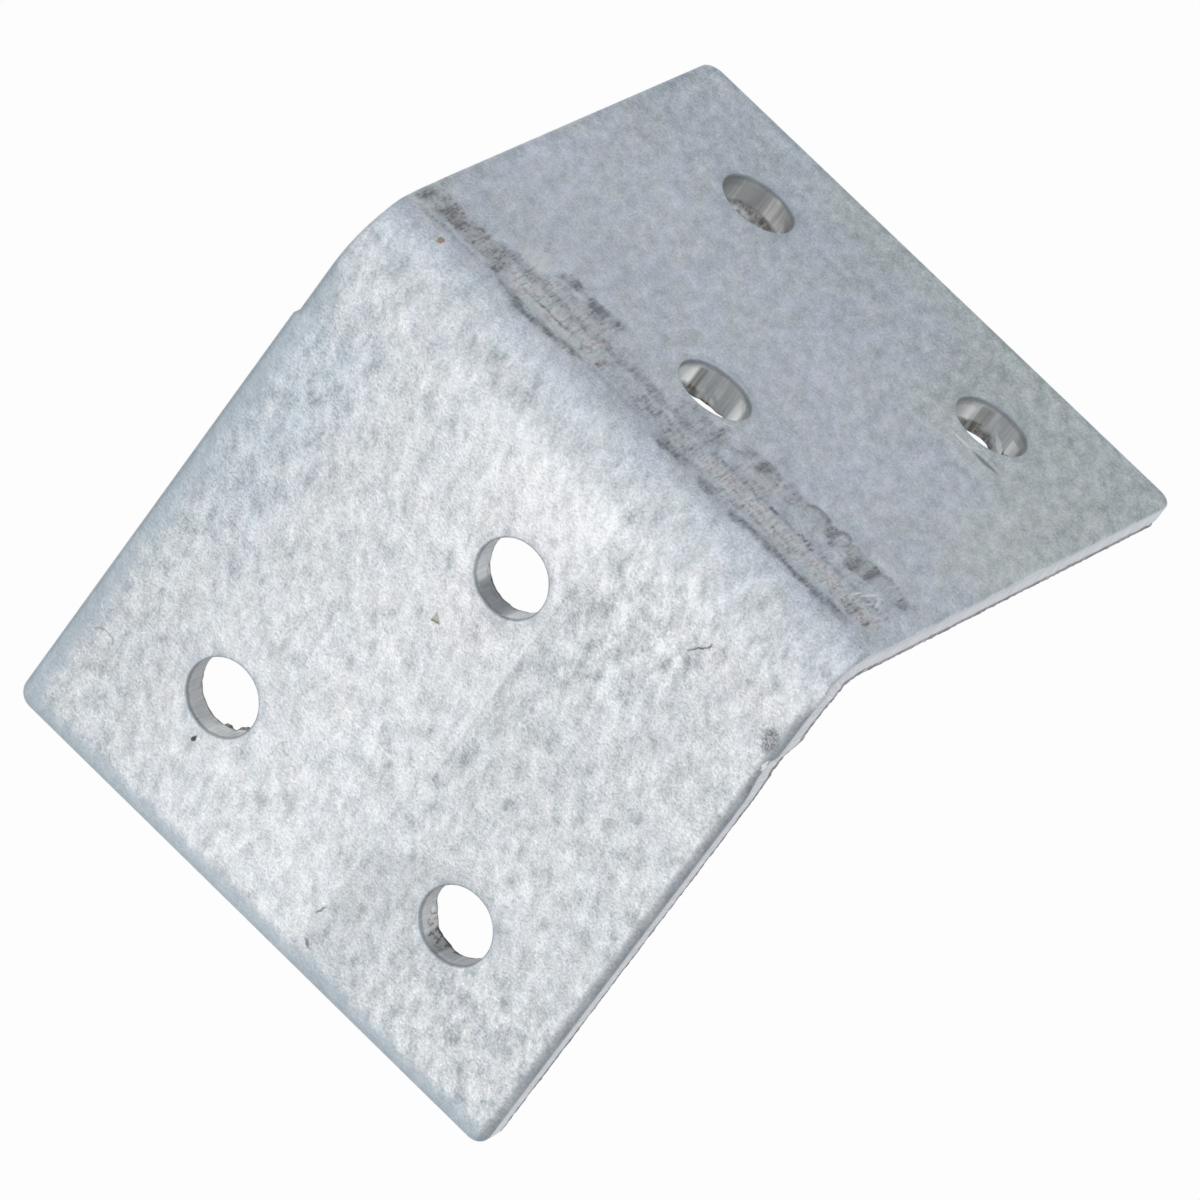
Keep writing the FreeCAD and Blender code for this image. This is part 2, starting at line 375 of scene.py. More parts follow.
rents = {  # angle, spread, depth from, depth to, strength
    "rear_left_hole": [(150, 14, 0.74, 0.82, 0.5)],
    "rear_single_hole": [(150, 20, 0.8, 1.0, 0.5), (107, 8, 0.93, 1.0, 0.72), (136, 12, 0.84, 1.0, 0.5)],
    "rear_right_hole": [(150, 30, 0.64, 1.0, 0.42), (112, 18, 0.72, 1.0, 0.44), (86, 5, 0.86, 1.0, 0.5)],
    "front_left_hole": [(-43, 13, 0.74, 1.0, 0.8), (-70, 8, 0.8, 1.0, 0.7)],
    "front_right_hole": [
        (-104, 17, 0.2, 1.0, 0.44), (-128, 12, 0.35, 0.9, 0.45), (-145, 7, 0.55, 0.9, 0.45),
        (-76, 10, 0.7, 1.0, 0.45),
    ],
}
wallNames = ["edge", *holeNames]


def outwardNormals(loop):
    places = np.array(loop)
    along = np.roll(places, -1, 0) - np.roll(places, 1, 0)
    along = along / np.linalg.norm(along, axis=1)[:, None]
    return places, np.stack([along[:, 1], -along[:, 0]], 1)


def angleAway(here, number, middle):
    hx, hq, _ = holes[number - 1]
    angle = np.degrees(np.arctan2(here[:, 1] - hq, here[:, 0] - hx))
    return np.abs((angle - middle + 180) % 360 - 180)


def edgeLip(here):
    onRight = here[:, 0] > 0
    ledge = smooth(here[:, 1], *cutting["lipStart"]) * (1 - smooth(here[:, 1], *cutting["lipEnd"]))
    lip = cutting["lipDrop"] * ledge * onRight
    for along, spread, drop in burrs:
        lip = lip + drop * onRight * np.clip(1 - np.abs(here[:, 1] - along) / spread, 0, 1)
    return lip, np.zeros(len(here))


def rimLip(here, number):
    name = wallNames[number]
    flat = onSheet(here, 3)
    lip = collars.get(name, cutting["collarLeast"]) * (1 + cutting["collarWave"] * ripple(flat, 0.7))
    jag = np.clip(0.85 + 0.5 * ripple(flat + [7, 3, 0], 1.3), 0, 1.3)
    reach = np.zeros(len(here))
    for middle, spread, inward, drop in tears.get(name, []):
        share = jag * (1 - smooth(angleAway(here, number, middle), spread * cutting["tearSteady"], spread))
        reach = reach + share * inward
        lip = lip + share * drop
    return lip, reach


def wallShare(here, w, number, middle, spread, top, bottom, soft, slant=0):
    level = w + cutting["wallShake"] * ripple(onSheet(here, middle + slant * (w - top)), 1.6)
    level = smooth(level, top - soft, top + soft) * (1 - smooth(level, bottom, bottom + soft * 1.4))
    away = angleAway(here, number, middle + slant * (w - top))
    return level * (1 - smooth(away, spread * (1 - 3 * soft), spread * (1 + 2 * soft)))


def wallGleam(here, w, number):
    total = np.zeros(len(here))
    for *mark, gain, slant in [(*g, 0)[:6] for g in gleams.get(wallNames[number], [])]:
        total = total + gain * wallShare(here, w, number, *mark, cutting["gleamSoft"], slant)
    return total


def wallRent(here, w, number):
    total = np.zeros(len(here))
    for *mark, strength in rents.get(wallNames[number], []):
        total = np.maximum(total, strength * wallShare(here, w, number, *mark, cutting["rentSoft"]))
    return total


def cutShift(here, w, number, reach):
    kind = torn["hole" if number else "edge"]
    spot = onSheet(here, w * 0.8)
    start = kind["start"] + kind["wander"] * ripple(spot * [1, 1, 0], 0.8)
    rough = ripple(spot * [1, 1, 2.5], 2.6, 3)
    deep = np.maximum(kind["depth"] + kind["rough"] * rough, 0)
    return reach * smooth(w, *cutting["reachSpan"]) - smooth(w - start, *cutting["tornSpan"]) * deep


# Marks of the folding tool on the rear leg
marks = {
    "lowRow": 4.4,  # gains are for the marks below this q and above it
    "gains": {"scuffs": (0.55, 0.9), "smears": (1.08, 0.84), "shades": (0.62, 0.62), "blobs": (1.12, 1.12)},
    "soft": {
        "shades": (0.3, 0.22), "dashes": (0.3, 0.3), "warmths": (0.4, 0.2), "smears": (0.4, 0.3),
        "blobs": (0.26, 0.25),
    },
    "blobSoft": 0.35,
    "ovalFade": (0.3, 1.35),
    "scuffs": [  # ovals: x, q, half width, half length, strength
        (-19.4, 5.4, 0.4, 0.9, 0.75), (-17.2, 5.4, 1.4, 0.8, 0.8), (-14.8, 5.4, 1.3, 0.6, 0.5),
        (-12.9, 4.9, 0.5, 0.9, 0.7), (-17.6, 6.7, 0.7, 0.4, 0.6), (-15.4, 6.7, 1.0, 0.35, 0.5),
        (-13.6, 6.9, 0.8, 0.4, 0.4), (-15.6, 3.8, 1.6, 0.25, 0.3), (-10.6, 9.6, 0.25, 0.7, 0.55),
        (-9.7, 9.9, 0.4, 0.6, 0.7), (-8.5, 9.7, 0.18, 0.5, 0.75), (-7.8, 9.5, 0.55, 0.7, 1.0),
        (-7.9, 8.6, 0.6, 0.5, 0.45), (-6.2, 9.8, 0.3, 0.5, 0.65), (-12.7, 10.3, 0.15, 0.25, 0.5),
        (-11.4, 3.9, 0.9, 0.25, 0.4), (-10.1, 3.4, 1.0, 0.35, 0.5), (-8.8, 3.2, 1.0, 0.3, 0.5),
        (-7.5, 3.45, 0.9, 0.35, 0.6), (-6.1, 3.65, 0.8, 0.3, 0.65), (-4.8, 4.0, 0.4, 0.2, 0.4),
        (-4.4, 5.2, 0.16, 0.6, 0.6), (-5.8, 5.0, 0.15, 0.6, 0.5), (-2.25, 4.9, 0.3, 0.4, 0.4),
        (0.3, 7.2, 0.8, 0.8, 0.3), (-9.7, 5.2, 0.45, 0.15, 0.6), (-8.3, 5.25, 2.9, 0.16, 0.5),
        (9.5, 5.3, 4.5, 0.15, 0.4), (8.0, 4.55, 3.5, 0.14, 0.3), (2.8, 3.8, 1.1, 0.6, 0.55),
        (3.05, 9.3, 0.2, 0.8, 0.65), (4.4, 8.8, 0.4, 0.5, 0.55), (5.1, 9.6, 0.22, 0.6, 0.55),
        (6.2, 9.6, 0.4, 1.0, 0.85), (7.1, 10.0, 0.3, 0.6, 0.6), (7.6, 9.3, 0.25, 0.5, 0.5),
        (8.0, 9.9, 0.15, 0.4, 0.45), (8.7, 9.7, 0.32, 0.8, 0.65), (8.9, 8.8, 0.45, 0.5, 0.4),
        (11.9, 9.6, 0.32, 0.9, 0.75), (12.5, 8.6, 0.35, 0.4, 0.5), (13.5, 9.5, 0.22, 0.7, 0.45),
        (14.2, 9.0, 0.34, 0.9, 0.75), (15.4, 9.6, 0.36, 1.1, 0.9), (16.4, 10.2, 0.2, 0.5, 0.45),
        (18.0, 9.5, 0.34, 0.8, 0.7), (4.7, 4.05, 0.6, 0.2, 0.45), (5.7, 3.6, 0.55, 0.6, 0.65),
        (7.4, 4.0, 0.9, 0.3, 0.55), (8.5, 3.2, 0.75, 0.45, 0.75), (10.2, 3.15, 1.1, 0.4, 0.65),
        (12.2, 3.3, 1.0, 0.45, 0.7), (14.1, 3.1, 1.2, 0.4, 0.65), (15.8, 3.5, 0.25, 0.5, 0.75),
        (16.4, 3.2, 0.3, 0.35, 0.5), (17.0, 3.0, 0.45, 0.3, 0.55), (11.4, 5.0, 0.2, 0.4, 0.35),
        (15.3, 4.9, 0.2, 0.5, 0.4), (16.4, 4.9, 0.25, 0.6, 0.7), (17.0, 4.9, 0.25, 0.6, 0.85),
        (17.9, 4.8, 0.25, 0.5, 0.75), (18.5, 4.7, 0.2, 0.35, 0.35),
    ],
    "pales": [  # ovals too
        (16.6, 7.4, 0.2, 0.7, 0.9), (17.2, 7.1, 0.18, 0.5, 0.8), (16.1, 6.8, 0.16, 0.4, 0.7),
        (-9.1, 9.1, 0.5, 0.45, 1.0), (-18.6, 4.8, 0.35, 0.35, 0.6), (-12.2, 8.8, 1.5, 1.6, 0.9),
        (14.8, 8.6, 0.25, 0.5, 0.4), (-8.4, 4.8, 2.8, 0.22, 0.6), (-8.0, 5.75, 2.6, 0.22, 0.55),
        (9.0, 4.9, 5.0, 0.22, 0.45), (10.5, 5.8, 4.5, 0.22, 0.45),
    ],
    "shades": [  # patches from here on: x from, x to, q from, q to, strength
        (-19.0, -12.6, 4.7, 7.0, 0.56), (-18.2, -16.1, 4.7, 6.2, 0.8), (-14.5, -4.8, 6.6, 7.6, 0.45),
        (-12.8, -9.6, 6.4, 7.9, 0.2), (-5.2, 3.6, 6.5, 7.5, 0.42), (-5.0, -3.9, 5.8, 8.6, 0.3),
        (0.0, 3.7, 6.6, 9.4, 0.4), (-18.6, -13.8, 3.6, 4.1, 0.42), (1.4, 3.9, 3.0, 4.3, 0.5),
        (-4.6, 1.4, 3.7, 4.2, 0.25), (-4.6, 3.6, 4.5, 6.3, 0.22), (3.8, 18.6, 6.5, 7.15, 0.4),
        (5.6, 18.6, 8.3, 10.4, 0.24), (-10.9, -5.6, 8.2, 10.2, 0.26), (-1.8, 3.4, 4.4, 6.2, 0.5),
        (4.9, 17.2, 2.8, 3.8, 0.34), (-12.0, -5.4, 3.1, 4.0, 0.36), (15.8, 18.7, 4.3, 5.5, 0.3),
        (13.9, 17.4, 7.1, 8.0, 0.3), (3.9, 8.4, 4.0, 4.4, 0.35),
    ],
    "dashes": [
        (-13.8, -5.2, 6.55, 7.1, 0.4), (4.0, 4.6, 6.55, 7.1, 0.6), (5.2, 5.7, 6.55, 7.1, 0.5),
        (6.7, 8.1, 6.55, 7.1, 0.5), (8.5, 9.9, 6.55, 7.1, 0.5), (10.7, 12.7, 6.55, 7.1, 0.55),
        (13.3, 14.1, 6.55, 7.1, 0.4), (15.0, 16.0, 6.55, 7.1, 0.45),
    ],
    "warmths": [
        (-12.4, -4.2, 4.5, 6.4, 0.8), (-4.2, 3.6, 4.5, 6.2, 0.25), (3.6, 18.8, 4.4, 6.4, 0.85),
        (-19.0, -13.0, 4.3, 4.6, 0.7), (-12.0, -5.4, 6.5, 8.6, 0.55), (4.8, 8.2, 7.1, 8.2, 0.6),
        (4.6, 17.6, 8.2, 10.4, 0.35), (-19.6, -12.8, 4.7, 7.0, 0.5),
    ],
    "smears": [
        (-12.4, -11.0, 3.8, 4.25, 0.7), (-11.4, -10.0, 3.4, 4.0, 0.8), (-10.6, -8.4, 2.95, 3.6, 0.85),
        (-8.8, -6.9, 3.1, 3.8, 0.85), (-7.2, -5.2, 3.6, 4.15, 0.7), (1.2, 3.9, 3.0, 4.3, 0.6),
        (4.9, 6.4, 2.9, 4.1, 0.55), (7.7, 9.2, 2.7, 3.6, 0.75), (9.0, 15.4, 2.9, 3.6, 0.7),
        (15.4, 17.4, 2.8, 3.9, 0.6), (-18.6, -12.6, 4.6, 6.9, 0.58), (-18.4, -16.2, 4.6, 6.3, 0.78),
        (-13.3, -12.5, 4.2, 6.0, 0.5), (-18.6, -14.0, 3.6, 4.1, 0.4), (-14.6, -4.8, 6.6, 7.5, 0.56),
        (-9.6, -5.4, 7.4, 9.0, 0.22), (-8.5, -6.9, 8.3, 10.1, 0.5), (-5.4, 3.6, 6.6, 7.5, 0.54),
        (0.2, 3.8, 6.8, 9.3, 0.46), (3.8, 17.4, 6.6, 7.1, 0.55), (5.7, 7.4, 8.6, 10.4, 0.45),
        (8.4, 9.2, 8.4, 10.2, 0.3), (11.4, 12.3, 8.6, 10.3, 0.45), (13.8, 15.9, 8.1, 10.3, 0.45),
        (16.0, 18.6, 8.2, 10.2, 0.25), (14.0, 17.2, 6.9, 8.0, 0.3), (17.0, 18.6, 7.6, 8.6, 0.34),
        (4.6, 8.2, 7.0, 8.1, 0.3), (8.2, 14.0, 7.2, 8.1, 0.16), (-4.8, 1.4, 3.6, 4.3, 0.25),
        (-3.6, -2.2, 2.2, 3.2, 0.22), (3.8, 8.4, 4.0, 4.5, 0.3), (9.4, 11.4, 8.6, 10.2, 0.2),
        (3.9, 5.5, 8.2, 9.6, 0.25),
    ],
    "blobs": [
        (15.0, 15.8, 8.2, 10.4, 0.95), (13.9, 14.75, 8.0, 9.8, 0.85), (11.6, 12.2, 8.8, 10.3, 0.85),
        (5.75, 6.7, 8.8, 10.5, 0.8), (6.8, 7.4, 8.9, 10.4, 0.55), (8.3, 9.1, 8.3, 10.4, 0.45),
        (17.7, 18.4, 8.5, 10.0, 0.65), (4.65, 5.3, 8.9, 10.2, 0.5), (3.9, 4.8, 8.3, 9.3, 0.5),
        (12.2, 12.9, 8.3, 9.0, 0.5), (7.85, 8.25, 9.3, 10.4, 0.45), (13.1, 13.7, 8.9, 10.4, 0.35),
        (9.7, 11.2, 10.2, 10.7, 0.5), (12.0, 13.0, 10.2, 10.7, 0.4), (-8.4, -7.0, 8.8, 10.2, 0.9),
        (-8.4, -6.8, 8.2, 9.0, 0.5), (-10.3, -9.3, 9.1, 10.4, 0.7), (-11.0, -10.4, 8.9, 9.9, 0.55),
        (-6.8, -5.9, 9.0, 10.3, 0.55), (-18.3, -16.3, 4.7, 6.3, 0.75), (-19.7, -19.0, 4.5, 6.4, 0.6),
        (-13.4, -12.6, 4.1, 6.0, 0.6), (2.75, 3.25, 8.2, 10.1, 0.6), (-4.6, -4.2, 4.6, 5.9, 0.55),
        (-6.0, -5.6, 4.5, 5.7, 0.4), (-2.6, -2.0, 4.5, 5.3, 0.45), (3.4, 4.5, 6.4, 7.1, 0.45),
        (15.6, 16.0, 3.2, 4.0, 0.7), (11.4, 12.0, 4.7, 5.4, 0.3), (16.6, 17.3, 4.3, 5.4, 0.55),
    ],
}


def markGain(key, q):
    low, high = marks["gains"].get(key, (1, 1))
    return low if q < marks["lowRow"] else high


def ovalMarks(x, q, key):
    total = np.zeros_like(x)
    for mx, mq, wide, tall, strength in marks[key]:
        far = np.hypot((x - mx) / wide, (q - mq) / tall)
        total = np.maximum(total, strength * markGain(key, mq) * (1 - smooth(far, *marks["ovalFade"])))
    return total


def patchMarks(x, q, key):
    total = np.zeros_like(x)
    for left, right, low, high, strength in marks[key]:
        across, along = marks["soft"][key]
        if key == "blobs":
            across = min(across, marks["blobSoft"] * (right - left))
        share = within(x, left, right, across) * within(q, low, high, along)
        total = np.maximum(total, strength * markGain(key, high) * share)
    return total


def toolMarks(x, q):
    flat = np.stack([x, q, np.zeros_like(x)], 1)
    x = x + 0.2 * ripple(flat, 0.9)
    q = q + 0.3 * ripple(flat + [5, 8, 0], 0.8)
    dark = np.maximum(ovalMarks(x, q, "scuffs"), patchMarks(x, q, "shades"))
    dark = np.maximum(dark, patchMarks(x, q, "dashes"))
    trace = np.stack([dark, patchMarks(x, q, "warmths"), ovalMarks(x, q, "pales")], 1)
    return trace, np.maximum(patchMarks(x, q, "smears"), patchMarks(x, q, "blobs"))


vertices = []
layers = {}
faces = []
kinds = []


def addVertices(x, q, d, share, gleam=0.0, rent=0.0):
    start = sum(len(part) for part in vertices)
    blank = np.zeros(len(x))
    trace, smear = (np.zeros((len(x), 3)), blank) if share else toolMarks(x, q)
    rimNear = rimDistance(x, q)
    x = drawnX(x, q, d)
    vertices.append(sheetPoint(x, q, d))
    added = {
        "sheetPlace": np.stack([x, q, d], 1), "rimNear": rimNear, "toolMarks": trace, "toolSmear": smear,
        "cutShare": blank + share, "cutGleam": blank + gleam, "cutRent": blank + rent,
    }
    for name, values in added.items():
        layers.setdefault(name, []).append(values)
    return np.arange(start, start + len(x))


walls = []
start = 0
for number, loop in enumerate(loops):
    here, normal = outwardNormals(loop)
    lip, reach = rimLip(here, number) if number else edgeLip(here)
    bound = slice(start, start + len(loop))
    walls.append((number, here, normal, lip, reach, outerBoundary[bound], innerBoundary[bound]))
    start += len(loop)

outerD = outerDepth(outerPlan[:, 0], outerPlan[:, 1])
outerIndex = addVertices(outerPlan[:, 0], outerPlan[:, 1], outerD, 0)
innerD = np.full(len(innerPlan), thick)
innerGleam = np.zeros(len(innerPlan))
innerRent = np.zeros(len(innerPlan))
for number, here, normal, lip, reach, _, end in walls:
    innerPlan[end] += normal * cutShift(here, 1.0, number, reach)[:, None]
    innerD[end] += lip
    innerGleam[end] = wallGleam(here, 1.0, number)
    innerRent[end] = wallRent(here, 1.0, number)
innerIndex = addVertices(innerPlan[:, 0], innerPlan[:, 1], innerD, 1, innerGleam, innerRent)
faces += outerIndex[outerFaces].tolist()
faces += innerIndex[innerFaces][:, ::-1].tolist()
kinds += [0] * len(faces)

for number, here, normal, lip, reach, top, end in walls:
    rows = grid["rimRows"] if number else grid["edgeRows"]
    topD = outerD[top]
    previous = outerIndex[top]
    for row in range(1, rows + 1):
        w = row / rows
        current = innerIndex[end]
        if row < rows:
            plan = here + normal * cutShift(here, w, number, reach)[:, None]
            depth = topD + (thick + lip - topD) * w
            look = wallGleam(here, w, number), wallRent(here, w, number)
            current = addVertices(plan[:, 0], plan[:, 1], depth, w, *look)
        around = np.stack([previous, current, np.roll(current, -1), np.roll(previous, -1)], 1)
        faces += around.tolist()
        kinds += [2 if number else 1] * len(around)
        previous = current

mesh = bpy.data.meshes.new("bracketSheet")
mesh.from_pydata((np.concatenate(vertices) * mm).tolist(), [], faces)
mesh.validate()
for name, parts in layers.items():
    values = np.concatenate(parts)
    kind, key = ("FLOAT_VECTOR", "vector") if values.ndim == 2 else ("FLOAT", "value")
    mesh.attributes.new(name, kind, "POINT").data.foreach_set(key, values.ravel())
mesh.polygons.foreach_set("material_index", kinds)
mesh.shade_smooth()
mesh.set_sharp_from_angle(angle=math.radians(bracket["sharpAngle"]))
piece = bpy.data.objects.new("cornerBracketSheet", mesh)
bpy.context.scene.collection.objects.link(piece)
triangles = sum(len(p.vertices) - 2 for p in mesh.polygons)
print("bracket:", len(mesh.vertices), "vertices", triangles, "triangles")


# Node groups and materials
class Bench:
    def __init__(self, tree):
        self.tree = tree

    def put(self, kind, inputs=(), **settings):
        node = self.tree.nodes.new(kind)
        for name, value in settings.items():
            setattr(node, name, value)
        for key, value in inputs:
            if isinstance(value, bpy.types.NodeSocket):
                self.tree.links.new(value, node.inputs[key])
            else:
                node.inputs[key].default_value = value
        return node

    def math(self, operation, a, b=0.0, clamp=False):
        return self.put("ShaderNodeMath", [(0, a), (1, b)], operation=operation, use_clamp=clamp).outputs[0]

    def vector(self, operation, *values):
        return self.put("ShaderNodeVectorMath", list(enumerate(values)), operation=operation).outputs

    def add(self, *values):
        total = values[0]
        for value in values[1:]:
            total = self.math("ADD", total, value)
        return total

    def times(self, *values):
        total = values[0]
        for value in values[1:]:
            total = self.math("MULTIPLY", total, value)
        return total

    def span(self, value, start, end, low=0.0, high=1.0, kind="SMOOTHSTEP"):
        inputs = [("Value", value), ("From Min", start), ("From Max", end), ("To Min", low), ("To Max", high)]
        return self.put("ShaderNodeMapRange", inputs, interpolation_type=kind).outputs[0]

    def fall(self, value, start, end):
        return self.span(value, start, end, 1.0, 0.0)

    def signed(self, value):
        return self.span(value, 0.2, 0.8, -1.0, 1.0, "LINEAR")

    def window(self, value, start, end, soft):
        rise = self.span(value, start - soft, start + soft)
        return self.times(rise, self.fall(value, end - soft, end + soft))

    def grain(self, vector, scale, detail=2.0, rough=0.5, warp=0.0):
        inputs = [("Vector", vector), ("Scale", scale), ("Detail", detail), ("Roughness", rough)]
        return self.put("ShaderNodeTexNoise", [*inputs, ("Distortion", warp)]).outputs[0]

    def placed(self, vector, scale=(1, 1, 1), move=(0, 0, 0)):
        inputs = [("Vector", vector), ("Scale", scale), ("Location", move)]
        return self.put("ShaderNodeMapping", inputs).outputs[0]

    def split(self, vector):
        return self.put("ShaderNodeSeparateXYZ", [(0, vector)]).outputs

    def blend(self, share, a, b, kind="MIX"):
        inputs = [(0, share), (6, a), (7, b)]
        return self.put("ShaderNodeMix", inputs, data_type="RGBA", blend_type=kind).outputs[2]

    def attribute(self, name):
        return self.put("ShaderNodeAttribute", attribute_name=name).outputs

    def give(self, made, **values):
        for key, value in values.items():
            self.tree.links.new(value, made.inputs[key])


def newGroup(name, inputs, outputs):
    tree = bpy.data.node_groups.new(name, "ShaderNodeTree")
    for way, sockets in (("INPUT", inputs), ("OUTPUT", outputs)):
        for key, kind in sockets.items():
            tree.interface.new_socket(key, in_out=way, socket_type=kind)
    bench = Bench(tree)
    return bench, bench.put("NodeGroupInput").outputs, bench.put("NodeGroupOutput")


def useGroup(bench, name, **inputs):
    return bench.put("ShaderNodeGroup", inputs.items(), node_tree=bpy.data.node_groups[name]).outputs


valueKind = "NodeSocketFloat"
vectorKind = "NodeSocketVector"

# Lean: the way the zinc ran off the sheet, a little off its length
bench, given, made = newGroup("lean", {"Place": vectorKind, "Amount": valueKind}, {"Leant": vectorKind})
x, q, d = bench.split(given["Place"])
leant = [(0, bench.add(x, bench.times(q, given["Amount"]))), (1, q), (2, d)]
bench.give(made, Leant=bench.put("ShaderNodeCombineXYZ", leant).outputs[0])

# Zinc skin: leaning flakes at several sizes, fine grain, clouds, tints, and bright and dark specks
skinNames = ("Flake", "Dab", "Grain", "Cloud", "Fleck", "Pit", "Vein", "Tint", "Blush", "Brush")
bench, given, made = newGroup("zincSkin", {"Place": vectorKind}, {name: valueKind for name in skinNames})
place = given["Place"]
leant = useGroup(bench, "lean", Place=place, Amount=0.21)["Leant"]
leaning = bench.placed(leant, (1.0, 0.6, 1.0))
coarse = bench.grain(leaning, 0.95, 1.0, 0.8)
close = bench.grain(bench.placed(leant, (1.0, 0.85, 1.0)), 3.8, 1.0, 0.8)
flake = bench.add(bench.times(coarse, 0.61), bench.times(close, 0.39))
dab = bench.grain(bench.placed(leaning, move=(23, 3, 11)), 1.25, 1.0, 0.5)
fine = bench.grain(place, 5.8, 2.0, 0.85)
cloud = bench.grain(leaning, 0.16, 1.0)
tint = bench.grain(bench.placed(leaning, move=(3, 41, 7)), 0.5, 3.0, 0.7)
blush = bench.grain(bench.placed(leaning, move=(57, 19, 3)), 0.9, 3.0, 0.7)
speck = bench.grain(bench.placed(leaning, move=(13, 5, 1)), 3.4, 1.0, 0.6)
pit = bench.grain(bench.placed(place, move=(31, 17, 5)), 3.1, 2.0, 0.6)
vein = bench.grain(bench.placed(leaning, move=(9, 27, 2)), 1.6, 2.0, 0.7, 0.8)
vein = bench.math("ABSOLUTE", bench.math("SUBTRACT", vein, 0.5))
brush = bench.grain(bench.placed(place, (5.0, 0.09, 1.0)), 1.0, 2.0, 0.7)
bench.give(made, Flake=bench.signed(flake), Grain=bench.signed(fine), Cloud=bench.signed(cloud))
bench.give(made, Brush=bench.signed(brush), Vein=bench.fall(vein, 0.0, 0.06))
bench.give(made, Dab=bench.span(dab, 0.48, 0.78), Fleck=bench.span(speck, 0.62, 0.8))
bench.give(made, Pit=bench.span(pit, 0.68, 0.8))
bench.give(made, Tint=bench.span(tint, 0.34, 0.66), Blush=bench.span(blush, 0.34, 0.66))

# Tool band: the marks of the folding tool, broken up by streaks that run along the sheet
bench, given, made = newGroup(
    "toolBand",
    {"Place": vectorKind, "Marks": vectorKind, "Smear": valueKind},
    {"Dark": valueKind, "Warm": valueKind, "Pale": valueKind, "Height": valueKind},
)
leant = useGroup(bench, "lean", Place=given["Place"], Amount=0.06)["Leant"]
streak = bench.grain(bench.placed(leant, (4.4, 0.55, 1)), 1.0, 2.0, 0.7)
hair = bench.grain(bench.placed(leant, (9.5, 1.1, 1), (4, 9, 0)), 1.0, 2.0, 0.7)
ragged = bench.grain(bench.placed(leant, (1.5, 0.8, 1), (11, 2, 0)), 1.0, 3.0, 0.65)
crumb = bench.grain(bench.placed(leant, (3.4, 2.4, 1), (7, 19, 0)), 1.0, 2.0, 0.6)
hatch = bench.add(bench.times(streak, 0.42), bench.times(hair, 0.26), bench.times(crumb, 0.32))
hatch = bench.span(hatch, 0.43, 0.57)
marked, warmed, paled = bench.split(given["Marks"])
zone = bench.math("MAXIMUM", bench.math("MINIMUM", bench.times(marked, 2.0), 1.0), warmed)
uneven = bench.span(ragged, 0.3, 0.7, 0.55, 1.45)
dark = bench.times(marked, uneven, bench.span(hatch, 0.0, 1.0, 0.65, 1.3, "LINEAR"))
patchy = bench.span(ragged, 0.3, 0.7, 0.7, 1.3)
smeared = bench.times(given["Smear"], patchy, bench.span(hatch, 0.0, 1.0, 0.78, 1.02, "LINEAR"))
lines = bench.times(bench.span(hatch, 0.55, 1.0), zone, bench.span(ragged, 0.35, 0.6, 0.18, 0.52))
dark = bench.add(bench.math("MAXIMUM", dark, smeared), lines)
pale = bench.times(bench.fall(hatch, 0.1, 0.4), zone, bench.span(ragged, 0.4, 0.62, 0.3, 0.95))
paled = bench.times(paled, bench.span(hatch, 0.9, 0.2, 0.5, 1.0))
warm = bench.times(warmed, bench.span(ragged, 0.34, 0.58, 0.45, 1.1))
bench.give(made, Dark=bench.math("MINIMUM", dark, 1.0), Warm=bench.math("MINIMUM", warm, 1.0))
bench.give(made, Pale=bench.math("MAXIMUM", pale, paled), Height=bench.times(hatch, zone))

# Spot: an ellipse on the sheet, 1 inside and 0 outside
bench, given, made = newGroup(
    "spot",
    {"Place": vectorKind, "Centre": vectorKind, "Size": vectorKind, "Turn": vectorKind, "Soft": valueKind},
    {"Inside": valueKind, "Far": valueKind},
)
inputs = [("Vector", given["Place"]), ("Location", given["Centre"])]
inputs += [("Rotation", given["Turn"]), ("Scale", given["Size"])]
local = bench.put("ShaderNodeMapping", inputs, vector_type="TEXTURE").outputs[0]
far = bench.vector("LENGTH", bench.vector("MULTIPLY", local, (1, 1, 0))[0])["Value"]
inner = bench.math("SUBTRACT", 1.0, given["Soft"])
outer = bench.math("ADD", 1.0, given["Soft"])
bench.give(made, Inside=bench.fall(far, inner, outer), Far=far)

# Cut steel: burnished by the punch or blade first, torn beyond
bench, given, made = newGroup(
    "cutSteel",
    {"Place": vectorKind, "Share": valueKind, "Start": valueKind, "Sway": valueKind},
    {"Tone": valueKind, "Torn": valueKind, "Crumble": valueKind, "Height": valueKind},
)
reach = bench.grain(bench.placed(given["Place"], (0.7, 0.7, 0.0)), 1.0, 3.0, 0.55)
depth = bench.add(given["Share"], bench.times(bench.math("SUBTRACT", reach, 0.5), given["Sway"]))
ripped = bench.span(bench.math("SUBTRACT", depth, given["Start"]), -0.05, 0.05)
streak = bench.grain(bench.placed(given["Place"], (6.0, 6.0, 0.3)), 1.0, 2.0, 0.75)
crumble = bench.grain(bench.placed(given["Place"], (1.2, 1.2, 0.55)), 3.2, 3.0, 0.7)
smoothTone = bench.times(bench.span(streak, 0.3, 0.7), bench.math("SUBTRACT", 1.0, ripped))
tornTone = bench.times(bench.span(crumble, 0.35, 0.75), ripped)
height = bench.add(bench.times(streak, 0.4), bench.times(crumble, ripped))
bench.give(made, Tone=bench.add(smoothTone, tornTone), Torn=ripped, Crumble=crumble, Height=height)


def newMaterial(name, settings):
    material = bpy.data.materials.new(name)
    material.use_nodes = True
    shader = material.node_tree.nodes["Principled BSDF"]
    shader.inputs["Roughness"].default_value = settings["roughness"]
    shader.inputs["Metallic"].default_value = settings["metallic"]
    mesh.materials.append(material)
    return Bench(material.node_tree), shader


